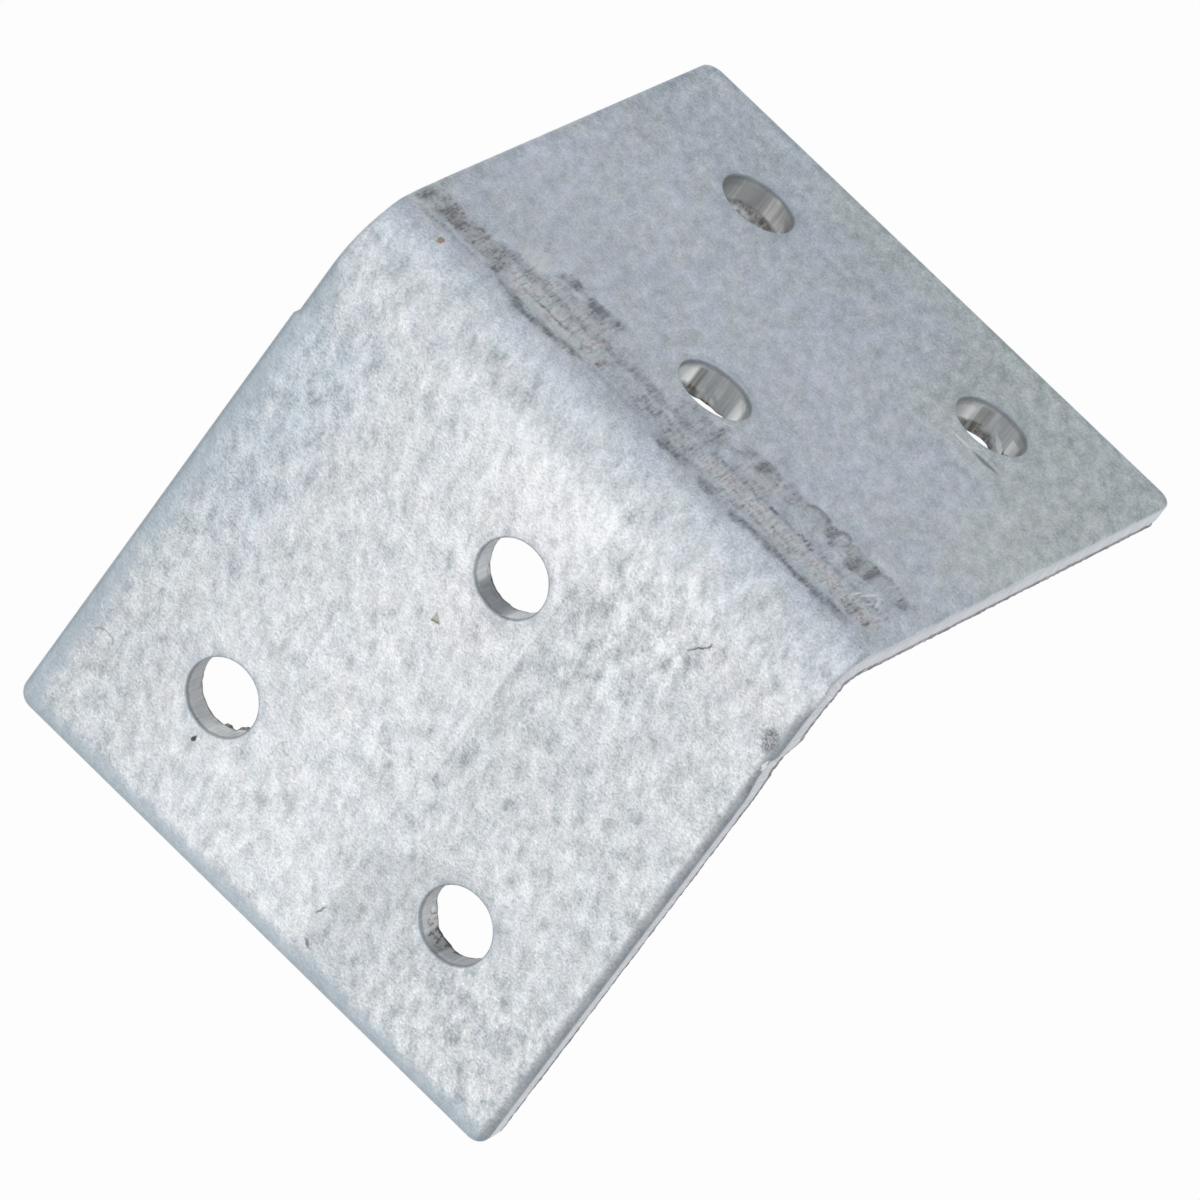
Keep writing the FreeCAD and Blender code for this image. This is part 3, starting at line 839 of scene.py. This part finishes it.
def finishMaterial(bench, shader, colour, height, bumpDepth):
    bench.tree.links.new(colour, shader.inputs["Base Color"])
    bump = bench.put("ShaderNodeBump", [("Height", height), ("Distance", bumpDepth), ("Strength", 1.0)])
    bench.tree.links.new(bump.outputs[0], shader.inputs["Normal"])


# Zinc face: mottled zinc on both faces of the sheet, with the tool's marks, scratches and specks, and with
# painted shade on the rolled edges, the rims, the fold and the rear leg, and painted glints
face = {
    "roughness": 0.46,
    "metallic": 0.62,
    "bumpDepth": 0.00002,
    "dark": (0.325, 0.354, 0.374, 1),
    "light": (0.879, 0.882, 0.899, 1),
    "cool": (0.97, 1.0, 1.012, 1),
    "warm": (0.994, 1.0, 0.98, 1),
    "blueField": (0.925, 0.96, 0.99, 1),
    # Painted shade: the rear leg, turned away from the light, tinted cooler
    "rearShadeTint": (0.948, 0.996, 1.07, 1),
    "moss": (0.996, 1.0, 0.91, 1),
    "blush": (1.046, 1.0, 1.02, 1),
    # Painted shade: the bluish dark of the rolled outer edges and hole rims, and a darker band of it along
    # the right edge and at the rims
    "paintedRollShade": (0.37, 0.43, 0.48, 1),
    "paintedDeepRollShade": (0.20, 0.225, 0.25, 1),
    "taupe": (0.735, 0.675, 0.682, 1),
    "sage": (0.65, 0.688, 0.678, 1),
    "pale": (0.86, 0.87, 0.885, 1),
    "scuff": (0.12, 0.134, 0.16, 1),
    "brown": (0.15, 0.128, 0.118, 1),
    "middle": 0.63,  # tone between dark and light
    "cloud": 0.06,
    "flake": (0.44, 0.37),  # strengths on the front and the rear leg
    "dab": (-0.24, -0.05),
    "grain": (0.37, 0.33),
    "tint": (0.9, 0.35),
    "blushed": (0.6, 1.0),
    # strengths of the painted ring of shade at the hole rims, on the front and the rear leg
    "rimShadeRing": (0.3, 0.6),
    "stepLine": (3.78, 4.02),  # x of the faint line along the front leg
    "fray": 0.3,
    "tones": {  # how far each field lightens or darkens the zinc; the crown and rear fields paint shade, the rear glow paints light
        "rightStep": -0.05, "stepShade": -0.09, "stepLight": 0.06, "lowRight": -0.09, "lowShade": -0.1,
        "leftSide": -0.16, "ridge": 0.07, "brow": 0.09, "crown": -0.085, "crownLeftShade": -0.07, "rearEndShade": -1.0,
        "rearGlow": 0.05, "rear": -0.045, "rearSideShade": -0.12,
    },
}
beyond = 60  # further than any edge
regions = {  # from, to and softness across the sheet, then along it
    "blueField": ((-20.5, -13.5, 2.5), (-23.0, -5.0, 4.0)),
    "pinkMiddle": ((-4.0, 4.0, 3.0), (-18.0, -2.0, 3.0)),
    "pinkRight": ((11.0, 19.5, 2.0), (-6.0, -3.0, 1.0)),
    "mossEnd": ((-10.0, beyond, 3.0), (37.25, beyond, 1.75)),
    "mossRight": ((14.5, beyond, 3.5), (16.0, 41.0, 4.0)),
    "mossCorner": ((5.25, beyond, 2.25), (27.0, 41.0, 2.0)),
    "leftSide": ((-beyond, -13.7, 5.7), (-beyond, -2.5, 1.5)),
    "ridge": ((-6.0, 2.5, 4.0), (-beyond, -2.5, 1.5)),
    "brow": ((-7.0, 8.0, 3.0), (-7.0, -2.4, 1.6)),
    "crownLeftShade": ((-beyond, 2.0, 3.0), (-2.4, -0.6, 0.7)),
    "speckled": ((5.0, 11.5, 1.5), (-13.0, -3.6, 1.5)),
    "sparkLow": ((8.0, 20.0, 2.0), (-39.5, -30.5, 2.0)),
    "sparkHigh": ((9.5, 13.5, 1.0), (-8.5, -5.4, 0.8)),
}
paleScratch = (0.93, 0.95, 0.93, 1)
specks = {  # centre, half sizes, turn, colour, share, softness
    "orangeDot": ((-16.2, 2.65), (0.2, 0.32), 0, (0.36, 0.22, 0.10, 1), 0.8, 0.35),
    "darkSpeck": ((-9.35, -33.85), (0.13, 0.26), -14, (0.05, 0.04, 0.04, 1), 0.95, 0.3),
    # Painted shadow below the dark speck
    "speckShade": ((-9.3, -34.5), (0.25, 0.4), 0, (0.40, 0.42, 0.44, 1), 0.5, 0.5),
    "rightBlotch": ((19.05, -6.0), (0.54, 0.88), 12, (0.165, 0.165, 0.185, 1), 0.95, 0.4),
    # Painted highlight where the burr at the step in the right edge catches the light
    "edgeGlint": ((19.68, -7.6), (0.09, 0.42), 0, (0.98, 0.98, 0.98, 1), 0.95, 0.3),
    "upperScratch": ((12.35, -4.75), (0.75, 0.06), 48, (0.12, 0.12, 0.13, 1), 0.85, 0.5),
    "upperScratchFork": ((12.75, -4.25), (0.3, 0.05), 95, (0.14, 0.14, 0.15, 1), 0.7, 0.5),
    "upperScratchTail": ((11.9, -5.3), (0.3, 0.1), 62, (0.2, 0.2, 0.2, 1), 0.6, 0.5),
    "rearScratchPale": ((10.2, 28.5), (0.8, 0.16), 0, (0.9, 0.9, 0.9, 1), 0.7, 0.4),
    "rearScratchDark": ((12.2, 28.5), (1.05, 0.2), 0, (0.18, 0.18, 0.22, 1), 0.7, 0.4),
    "paleLine": ((-0.2, -25.15), (2.4, 0.06), 0, (0.95, 0.93, 0.92, 1), 0.5, 0.5),
    "scribbleLeft": ((16.5, 7.35), (0.1, 0.75), -14, paleScratch, 0.75, 0.5),
    "scribbleRight": ((17.25, 7.4), (0.1, 0.6), 14, paleScratch, 0.7, 0.5),
    "scribbleLow": ((16.05, 6.65), (0.09, 0.45), -12, paleScratch, 0.7, 0.5),
    "scribbleTop": ((17.0, 7.9), (0.1, 0.35), -30, paleScratch, 0.5, 0.5),
    "scribbleEnd": ((17.05, 6.75), (0.09, 0.35), -10, paleScratch, 0.6, 0.5),
    "lowScratch": ((3.3, -36.3), (0.4, 0.08), 70, (0.16, 0.16, 0.16, 1), 0.8, 0.5),
    "lowScratchTail": ((3.85, -38.6), (0.36, 0.09), -35, (0.15, 0.15, 0.15, 1), 0.8, 0.5),
}
arcs = {  # centre, half sizes, where it starts to show along the sheet, share, width
    "bandArchWide": ((10.45, 9.9), (0.8, 0.75), (9.6, 10.2), 0.6, 0.34),
    "bandArchTall": ((12.5, 9.7), (0.55, 1.0), (8.8, 9.6), 0.5, 0.34),
    "bandArchSmall": ((13.5, 9.9), (0.36, 0.6), (9.9, 10.2), 0.35, 0.4),
    "bandArchRight": ((16.2, 9.8), (0.4, 0.7), (9.8, 10.2), 0.35, 0.4),
    "hairScratch": ((-17.6, -33.5), (0.85, 0.75), (-33.3, -33.0), 0.6, 0.14),
    "lowSwirl": ((16.7, -37.0), (0.45, 1.0), (-38.0, -37.2), 0.26, 0.14),
}
nick = {  # three-cornered nick in the zinc beside the middle of the front leg
    "left": -1.94,
    "low": -16.34,
    "high": -15.5,
    "lowSlope": -0.32,
    "highSlope": 0.95,
    "soft": 0.03,
    "dark": (0.2, 0.18, 0.15, 1),
    "light": (0.42, 0.40, 0.35, 1),
    "share": 0.9,
}

bench, shader = newMaterial("zincFace", face)
place = bench.attribute("sheetPlace")["Vector"]
x, q, d = bench.split(place)
skin = useGroup(bench, "zincSkin", Place=place)
toolMask = bench.attribute("toolMarks")["Vector"]
tool = useGroup(bench, "toolBand", Place=place, Marks=toolMask, Smear=bench.attribute("toolSmear")["Fac"])
outside = bench.fall(d, 0.9, 1.1)
rear = bench.span(q, -1.2, 3.0)
frontSide = bench.fall(q, -4.0, -1.0)


def region(name):
    across, along = regions[name]
    return bench.times(bench.window(x, *across), bench.window(q, *along))


def byLeg(name):
    return bench.span(rear, 0.0, 1.0, *face[name])


def frayedBy(value, amount):
    return bench.add(value, bench.times(skin["Flake"], amount))


# Fields of lighter and darker zinc; those on the crown of the fold and on the rear leg are painted shade,
# with painted light across the middle of the rear leg
stepped = bench.window(q, -24.5, -1.5, 1.5)
nearStep = frayedBy(x, 0.12)
rightStep = bench.times(bench.span(nearStep, *face["stepLine"]), stepped)
border = bench.add(q, bench.times(x, -0.48), bench.times(skin["Cloud"], 1.2))
lowRight = bench.times(bench.span(frayedBy(x, 0.2), 3.3, 3.65), bench.fall(border, -32.2, -31.8))
leftNear = frayedBy(bench.math("ADD", x, halfWidth), 0.5)
rearGap = bench.math("SUBTRACT", rearEnd, q)
fields = {
    "rightStep": rightStep,
    "stepShade": bench.times(rightStep, bench.fall(x, 4.0, 9.0)),
    "stepLight": bench.times(bench.span(x, 1.2, 3.6), bench.fall(nearStep, *face["stepLine"]), stepped),
    "lowRight": lowRight,
    "lowShade": bench.times(lowRight, bench.fall(x, 4.0, 13.0)),
    "leftSide": region("leftSide"),
    "ridge": region("ridge"),
    "brow": region("brow"),
    # Painted shade: the crown of the fold darker, more so on its left
    "crown": bench.window(q, -1.6, 2.6, 1.0),
    "crownLeftShade": region("crownLeftShade"),
    # Painted shade and light on the rear leg: darker towards its far end, lighter across its middle, darker
    # overall and darker along its left edge
    "rearEndShade": bench.add(bench.span(rearGap, 0.3, 1.3, 0.16, 0.0), bench.span(q, 22.0, 41.0, 0.01, 0.25)),
    "rearGlow": bench.window(q, 4.0, 24.0, 6.0),
    "rear": rear,
    "rearSideShade": bench.times(bench.fall(leftNear, 0.3, 1.4), bench.span(q, 2.0, 6.0)),
}
# Painted glints: where the front leg sparkles, the bright flecks are stronger and the mottling livelier
speckled = region("speckled")
sparkling = bench.add(region("sparkLow"), region("sparkHigh"), bench.times(speckled, 0.5))
lively = bench.add(1.0, bench.times(speckled, 0.3), bench.times(sparkling, 0.3))
lively = bench.add(lively, bench.times(fields["lowShade"], -0.4), bench.span(x, 2.0, 6.0, 0.0, 0.1))
veined = bench.add(bench.times(frontSide, 0.06), bench.times(rear, 0.07))
brushed = bench.add(0.02, bench.times(bench.window(x, 2.6, 7.5, 0.8), stepped, 0.05))
tone = bench.add(
    face["middle"],
    bench.times(skin["Flake"], byLeg("flake"), lively),
    bench.times(skin["Dab"], byLeg("dab")),
    bench.times(skin["Grain"], byLeg("grain")),
    bench.times(skin["Vein"], veined),
    bench.times(skin["Cloud"], face["cloud"]),
    bench.times(skin["Fleck"], bench.add(0.1, bench.times(sparkling, 0.24))),
    bench.times(skin["Brush"], brushed),
    bench.times(skin["Pit"], bench.add(-0.06, bench.times(speckled, -0.2))),
    *(bench.times(fields[name], weight) for name, weight in face["tones"].items()),
)
tone = bench.math("MAXIMUM", bench.math("MINIMUM", tone, 1.0), 0.0)
colour = bench.blend(tone, face["dark"], face["light"])

# Tints, with the rear leg's painted cooler shade, then painted shade along the rolled edges and rims, then
# the tool's marks
pink = bench.add(region("pinkMiddle"), region("pinkRight"))
moss = bench.add(region("mossEnd"), region("mossRight"), region("mossCorner"))
warmed = bench.math("MAXIMUM", skin["Tint"], bench.times(pink, 0.8))
tinted = bench.blend(warmed, face["cool"], face["warm"])
mossy = bench.times(bench.math("MAXIMUM", moss, bench.times(skin["Tint"], 0.58)), rear)
blushed = bench.times(bench.math("MAXIMUM", skin["Blush"], pink), byLeg("blushed"))
# Painted shade of the rolled edges: a bluish band along the left edge and the front end, a darker band along
# the right edge of the front leg, a halo around the rims and a dark ring at them
leftRollShade = bench.times(bench.fall(leftNear, 0.5, 2.4), bench.fall(q, -4.5, -1.0))
frontRollShade = bench.fall(frayedBy(bench.math("SUBTRACT", q, frontEnd), 0.25), 0.7, 1.7)
rightGap = bench.math("SUBTRACT", halfWidth, x)
rightRollShade = bench.times(bench.fall(rightGap, 0.34, 0.8), bench.fall(q, -4.6, -1.1))
rimNear = bench.attribute("rimNear")["Fac"]
rimShadeHalo = bench.fall(frayedBy(rimNear, 0.3), 0.1, 0.8)
taupe = bench.blend(bench.span(skin["Blush"], 0.15, 0.75), face["sage"], face["taupe"])
scuffed = bench.blend(tool["Warm"], face["scuff"], face["brown"])
coats = [
    (byLeg("tint"), tinted, "MULTIPLY"),
    (bench.times(region("blueField"), outside), face["blueField"], "MULTIPLY"),
    (rear, face["rearShadeTint"], "MULTIPLY"),
    (mossy, face["moss"], "MULTIPLY"),
    (blushed, face["blush"], "MULTIPLY"),
    (bench.times(bench.math("MAXIMUM", leftRollShade, frontRollShade), outside, 0.72), face["paintedRollShade"], "MIX"),
    (bench.times(rightRollShade, outside, bench.span(q, -7.2, -6.4, 0.6, 0.66)), face["paintedDeepRollShade"], "MIX"),
    (bench.times(rimShadeHalo, outside, 0.3), face["paintedRollShade"], "MIX"),
    (bench.times(bench.fall(rimNear, 0.03, 0.14), outside, byLeg("rimShadeRing")), face["paintedDeepRollShade"], "MIX"),
    (bench.times(tool["Warm"], outside, 0.7), taupe, "MIX"),
    (bench.times(tool["Pale"], outside, 0.7), face["pale"], "MIX"),
    (bench.times(tool["Dark"], outside, 0.78), scuffed, "MIX"),
]

# Single marks: the nick, then specks and scratches with frayed outlines, with a painted shadow below one
# speck and a painted highlight on the burr at the edge step
nickX = bench.math("SUBTRACT", x, nick["left"])
aboveLow = bench.add(q, -nick["low"], bench.times(nickX, nick["lowSlope"]))
aboveHigh = bench.add(q, -nick["high"], bench.times(nickX, nick["highSlope"]))
nicked = bench.times(
    bench.span(nickX, 0.0, 2 * nick["soft"]),
    bench.fall(aboveHigh, -nick["soft"], nick["soft"]),
    bench.span(aboveLow, -nick["soft"], nick["soft"]),
)
nickColour = bench.blend(bench.span(aboveLow, 0.1, 0.2), nick["dark"], nick["light"])
coats.append((bench.times(nicked, outside, nick["share"]), nickColour, "MIX"))
cloudy = bench.put("ShaderNodeTexNoise", [("Vector", place), ("Scale", 3.0), ("Detail", 2.0)])
cloudy = bench.vector("SUBTRACT", cloudy.outputs["Color"], (0.5, 0.5, 0.5))[0]
frayed = bench.vector("MULTIPLY_ADD", cloudy, (face["fray"],) * 3, place)[0]
for centre, size, turn, speckColour, share, soft in specks.values():
    shape = {"Centre": (*centre, 0), "Size": (*size, 1), "Turn": (0, 0, math.radians(turn)), "Soft": soft}
    inside = useGroup(bench, "spot", Place=frayed, **shape)
    mottle = bench.span(skin["Grain"], -0.3, 0.35, 1.0, 0.55) if min(size) > 0.5 else 1.0
    coats.append((bench.times(inside["Inside"], outside, share, mottle), speckColour, "MIX"))
for centre, size, rise, share, width in arcs.values():
    away = useGroup(bench, "spot", Place=frayed, Centre=(*centre, 0), Size=(*size, 1))["Far"]
    line = bench.fall(bench.math("ABSOLUTE", bench.math("SUBTRACT", away, 1.0)), 0.03, width)
    line = bench.times(line, bench.span(skin["Grain"], -0.3, 0.2, 0.45, 1.0))
    coats.append((bench.times(line, bench.span(q, *rise), outside, share), face["scuff"], "MIX"))
for share, coat, kind in coats:
    colour = bench.blend(share, colour, coat, kind)
height = bench.add(skin["Flake"], bench.times(skin["Grain"], 0.5), bench.times(tool["Height"], outside, 0.6))
finishMaterial(bench, shader, colour, height, face["bumpDepth"])

# Cut faces: the sheared outline and the punched hole walls, with painted shade where they turn in from the
# outer face and painted highlights and shade from the gleams
cuts = {
    "shearedEdge": {
        "roughness": 0.45,
        "metallic": 0.5,
        "bumpDepth": 0.00003,
        "dark": (0.64, 0.64, 0.665, 1),
        "light": (0.84, 0.84, 0.87, 1),
        "torn": (0.22, 0.21, 0.205, 1),
        "tornShare": 1.0,
        "entryShade": (0.6, 0.6, 0.63, 1),
        "entryShadeEnd": 0.26,
        "start": 0.72,
        "sway": 0.12,
    },
    "punchedWall": {
        "roughness": 0.32,
        "metallic": 0.7,
        "bumpDepth": 0.00003,
        "dark": (0.58, 0.583, 0.578, 1),
        "light": (0.77, 0.763, 0.753, 1),
        "torn": (0.16, 0.14, 0.128, 1),
        "tornShare": 0.5,
        "entryShade": (0.30, 0.33, 0.36, 1),
        "entryShadeEnd": 0.13,
        "start": 1.0,
        "sway": 0.9,
    },
}
# Painted highlight colour for the gleams on the cut faces
bright = (0.97, 0.955, 0.94, 1)
for name, settings in cuts.items():
    bench, shader = newMaterial(name, settings)
    place = bench.attribute("sheetPlace")["Vector"]
    share = bench.attribute("cutShare")["Fac"]
    tearing = {"Start": settings["start"], "Sway": settings["sway"]}
    cut = useGroup(bench, "cutSteel", Place=place, Share=share, **tearing)
    colour = bench.blend(cut["Tone"], settings["dark"], settings["light"])
    # Painted shade: a darker band where the cut face turns in from the outer face
    colour = bench.blend(bench.span(share, 0.04, settings["entryShadeEnd"], 0.6, 0.0), colour, settings["entryShade"])
    tornAway = bench.times(cut["Torn"], bench.span(cut["Tone"], 0.2, 0.9, 1.0, 0.35), settings["tornShare"])
    colour = bench.blend(tornAway, colour, settings["torn"])
    # Gleams paint highlights on the walls, and below 0 they paint shade in the torn colour
    gleam = bench.times(bench.attribute("cutGleam")["Fac"], bench.span(cut["Tone"], 0.1, 0.9, 0.7, 1.2))
    colour = bench.blend(bench.math("MULTIPLY", gleam, 0.9, clamp=True), colour, bright)
    colour = bench.blend(bench.math("MULTIPLY", gleam, -0.9, clamp=True), colour, settings["torn"])
    ripped = bench.span(bench.add(cut["Crumble"], bench.attribute("cutRent")["Fac"]), 0.92, 1.06)
    ripped = bench.times(ripped, bench.span(cut["Tone"], 0.1, 0.9, 0.95, 0.7))
    colour = bench.blend(ripped, colour, settings["torn"])
    finishMaterial(bench, shader, colour, cut["Height"], settings["bumpDepth"])
print("materials:", len(mesh.materials), "with", len(bpy.data.node_groups), "groups")
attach(piece, "root")
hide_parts("corner_bracket")


# Floor, light and camera
studio = {
    "floorSize": 3.0,
    "floorDrop": 0.0002,
    "floorSeen": 0.98,
    "floorNear": 0.95,
    "floorFar": 0.36,
    "floorReach": (0.028, 0.06),
    "floorStretch": (0.3, 1.0, 1.0),
    "skyLow": 0.42,
    "skyHigh": 1.08,
    "skyRise": (0.0, 0.75),
    "skyColour": (0.94, 0.975, 1.0, 1),
    "panelSpot": (-0.12, -0.62, 0.26),
    "panelAim": (0, 0, 0.015),
    "panelSize": (0.7, 0.5),
    "panelPower": 1.0,
    "panelColour": (1.0, 0.985, 0.965),
}
floorMesh = bpy.data.meshes.new("floor")
reach = studio["floorSize"]
corners = [(-reach, -reach, 0), (reach, -reach, 0), (reach, reach, 0), (-reach, reach, 0)]
floorMesh.from_pydata(corners, [], [(0, 1, 2, 3)])
floor = bpy.data.objects.new("floor", floorMesh)
floor.location.z = -studio["floorDrop"]
bpy.context.scene.collection.objects.link(floor)
paper = bpy.data.materials.new("paperFloor")
paper.use_nodes = True
paper.node_tree.nodes.clear()
bench = Bench(paper.node_tree)
# To reflections and bounced light the floor is a painted pool of light, brightest near the bracket and
# stretched along x; to the camera it shows evenly white
spot = bench.placed(bench.put("ShaderNodeNewGeometry").outputs["Position"], studio["floorStretch"])
away = bench.vector("LENGTH", spot)["Value"]
given = bench.span(away, *studio["floorReach"], studio["floorNear"], studio["floorFar"])
shade = bench.put("ShaderNodeCombineColor", [(0, given), (1, given), (2, given)])
matt = bench.put("ShaderNodeBsdfDiffuse", [("Color", shade.outputs[0])])
seen = bench.put("ShaderNodeEmission", [("Strength", studio["floorSeen"])])
straight = bench.put("ShaderNodeLightPath").outputs["Is Camera Ray"]
mix = bench.put("ShaderNodeMixShader", [(0, straight), (1, matt.outputs[0]), (2, seen.outputs[0])])
bench.put("ShaderNodeOutputMaterial", [("Surface", mix.outputs[0])])
floorMesh.materials.append(paper)

world = bpy.data.worlds.new("studio")
world.use_nodes = True
bench = Bench(world.node_tree)
background = world.node_tree.nodes["Background"]
rise = bench.split(bench.put("ShaderNodeTexCoord").outputs["Generated"])[2]
sky = bench.span(rise, *studio["skyRise"], studio["skyLow"], studio["skyHigh"])
bench.tree.links.new(sky, background.inputs["Strength"])
background.inputs["Color"].default_value = studio["skyColour"]
bpy.context.scene.world = world

light = bpy.data.lights.new("frontPanel", "AREA")
light.shape = "RECTANGLE"
light.size, light.size_y = studio["panelSize"]
light.energy = studio["panelPower"]
light.color = studio["panelColour"]
lamp = bpy.data.objects.new("frontPanel", light)
lamp.location = studio["panelSpot"]
lamp.rotation_mode = "QUATERNION"
ahead = Vector(studio["panelAim"]) - Vector(studio["panelSpot"])
lamp.rotation_quaternion = ahead.to_track_quat("-Z", "Y")
bpy.context.scene.collection.objects.link(lamp)

view = {
    "azimuth": 40.776,
    "elevation": 70.709,
    "roll": 4.903,
    "distance": 0.947436,
    "aim": (0.0040139, -0.0043551, 0.018),
    "lens": 478.004,
    "sensor": 36.0,
    "clipStart": 0.01,
    "clipEnd": 100,
}
turn = math.radians(view["azimuth"])
lift = math.radians(view["elevation"])
back = Vector((math.sin(turn) * math.cos(lift), -math.cos(turn) * math.cos(lift), math.sin(lift)))
level = Vector((math.cos(turn), math.sin(turn), 0))
upright = back.cross(level)
roll = math.radians(view["roll"])
right = level * math.cos(roll) + upright * math.sin(roll)
upward = upright * math.cos(roll) - level * math.sin(roll)
camera = bpy.data.cameras.new("photoCamera")
camera.lens = view["lens"]
camera.sensor_width = view["sensor"]
camera.clip_start = view["clipStart"]
camera.clip_end = view["clipEnd"]
viewer = bpy.data.objects.new("photoCamera", camera)
spot = Vector(view["aim"]) + back * view["distance"]
viewer.matrix_world = Matrix.Translation(spot) @ Matrix((right, upward, back)).transposed().to_4x4()
bpy.context.scene.collection.objects.link(viewer)
bpy.context.scene.camera = viewer
bpy.context.scene.view_settings.view_transform = "Standard"
print("studio: floor, light and camera")

bpy.context.view_layer.update()
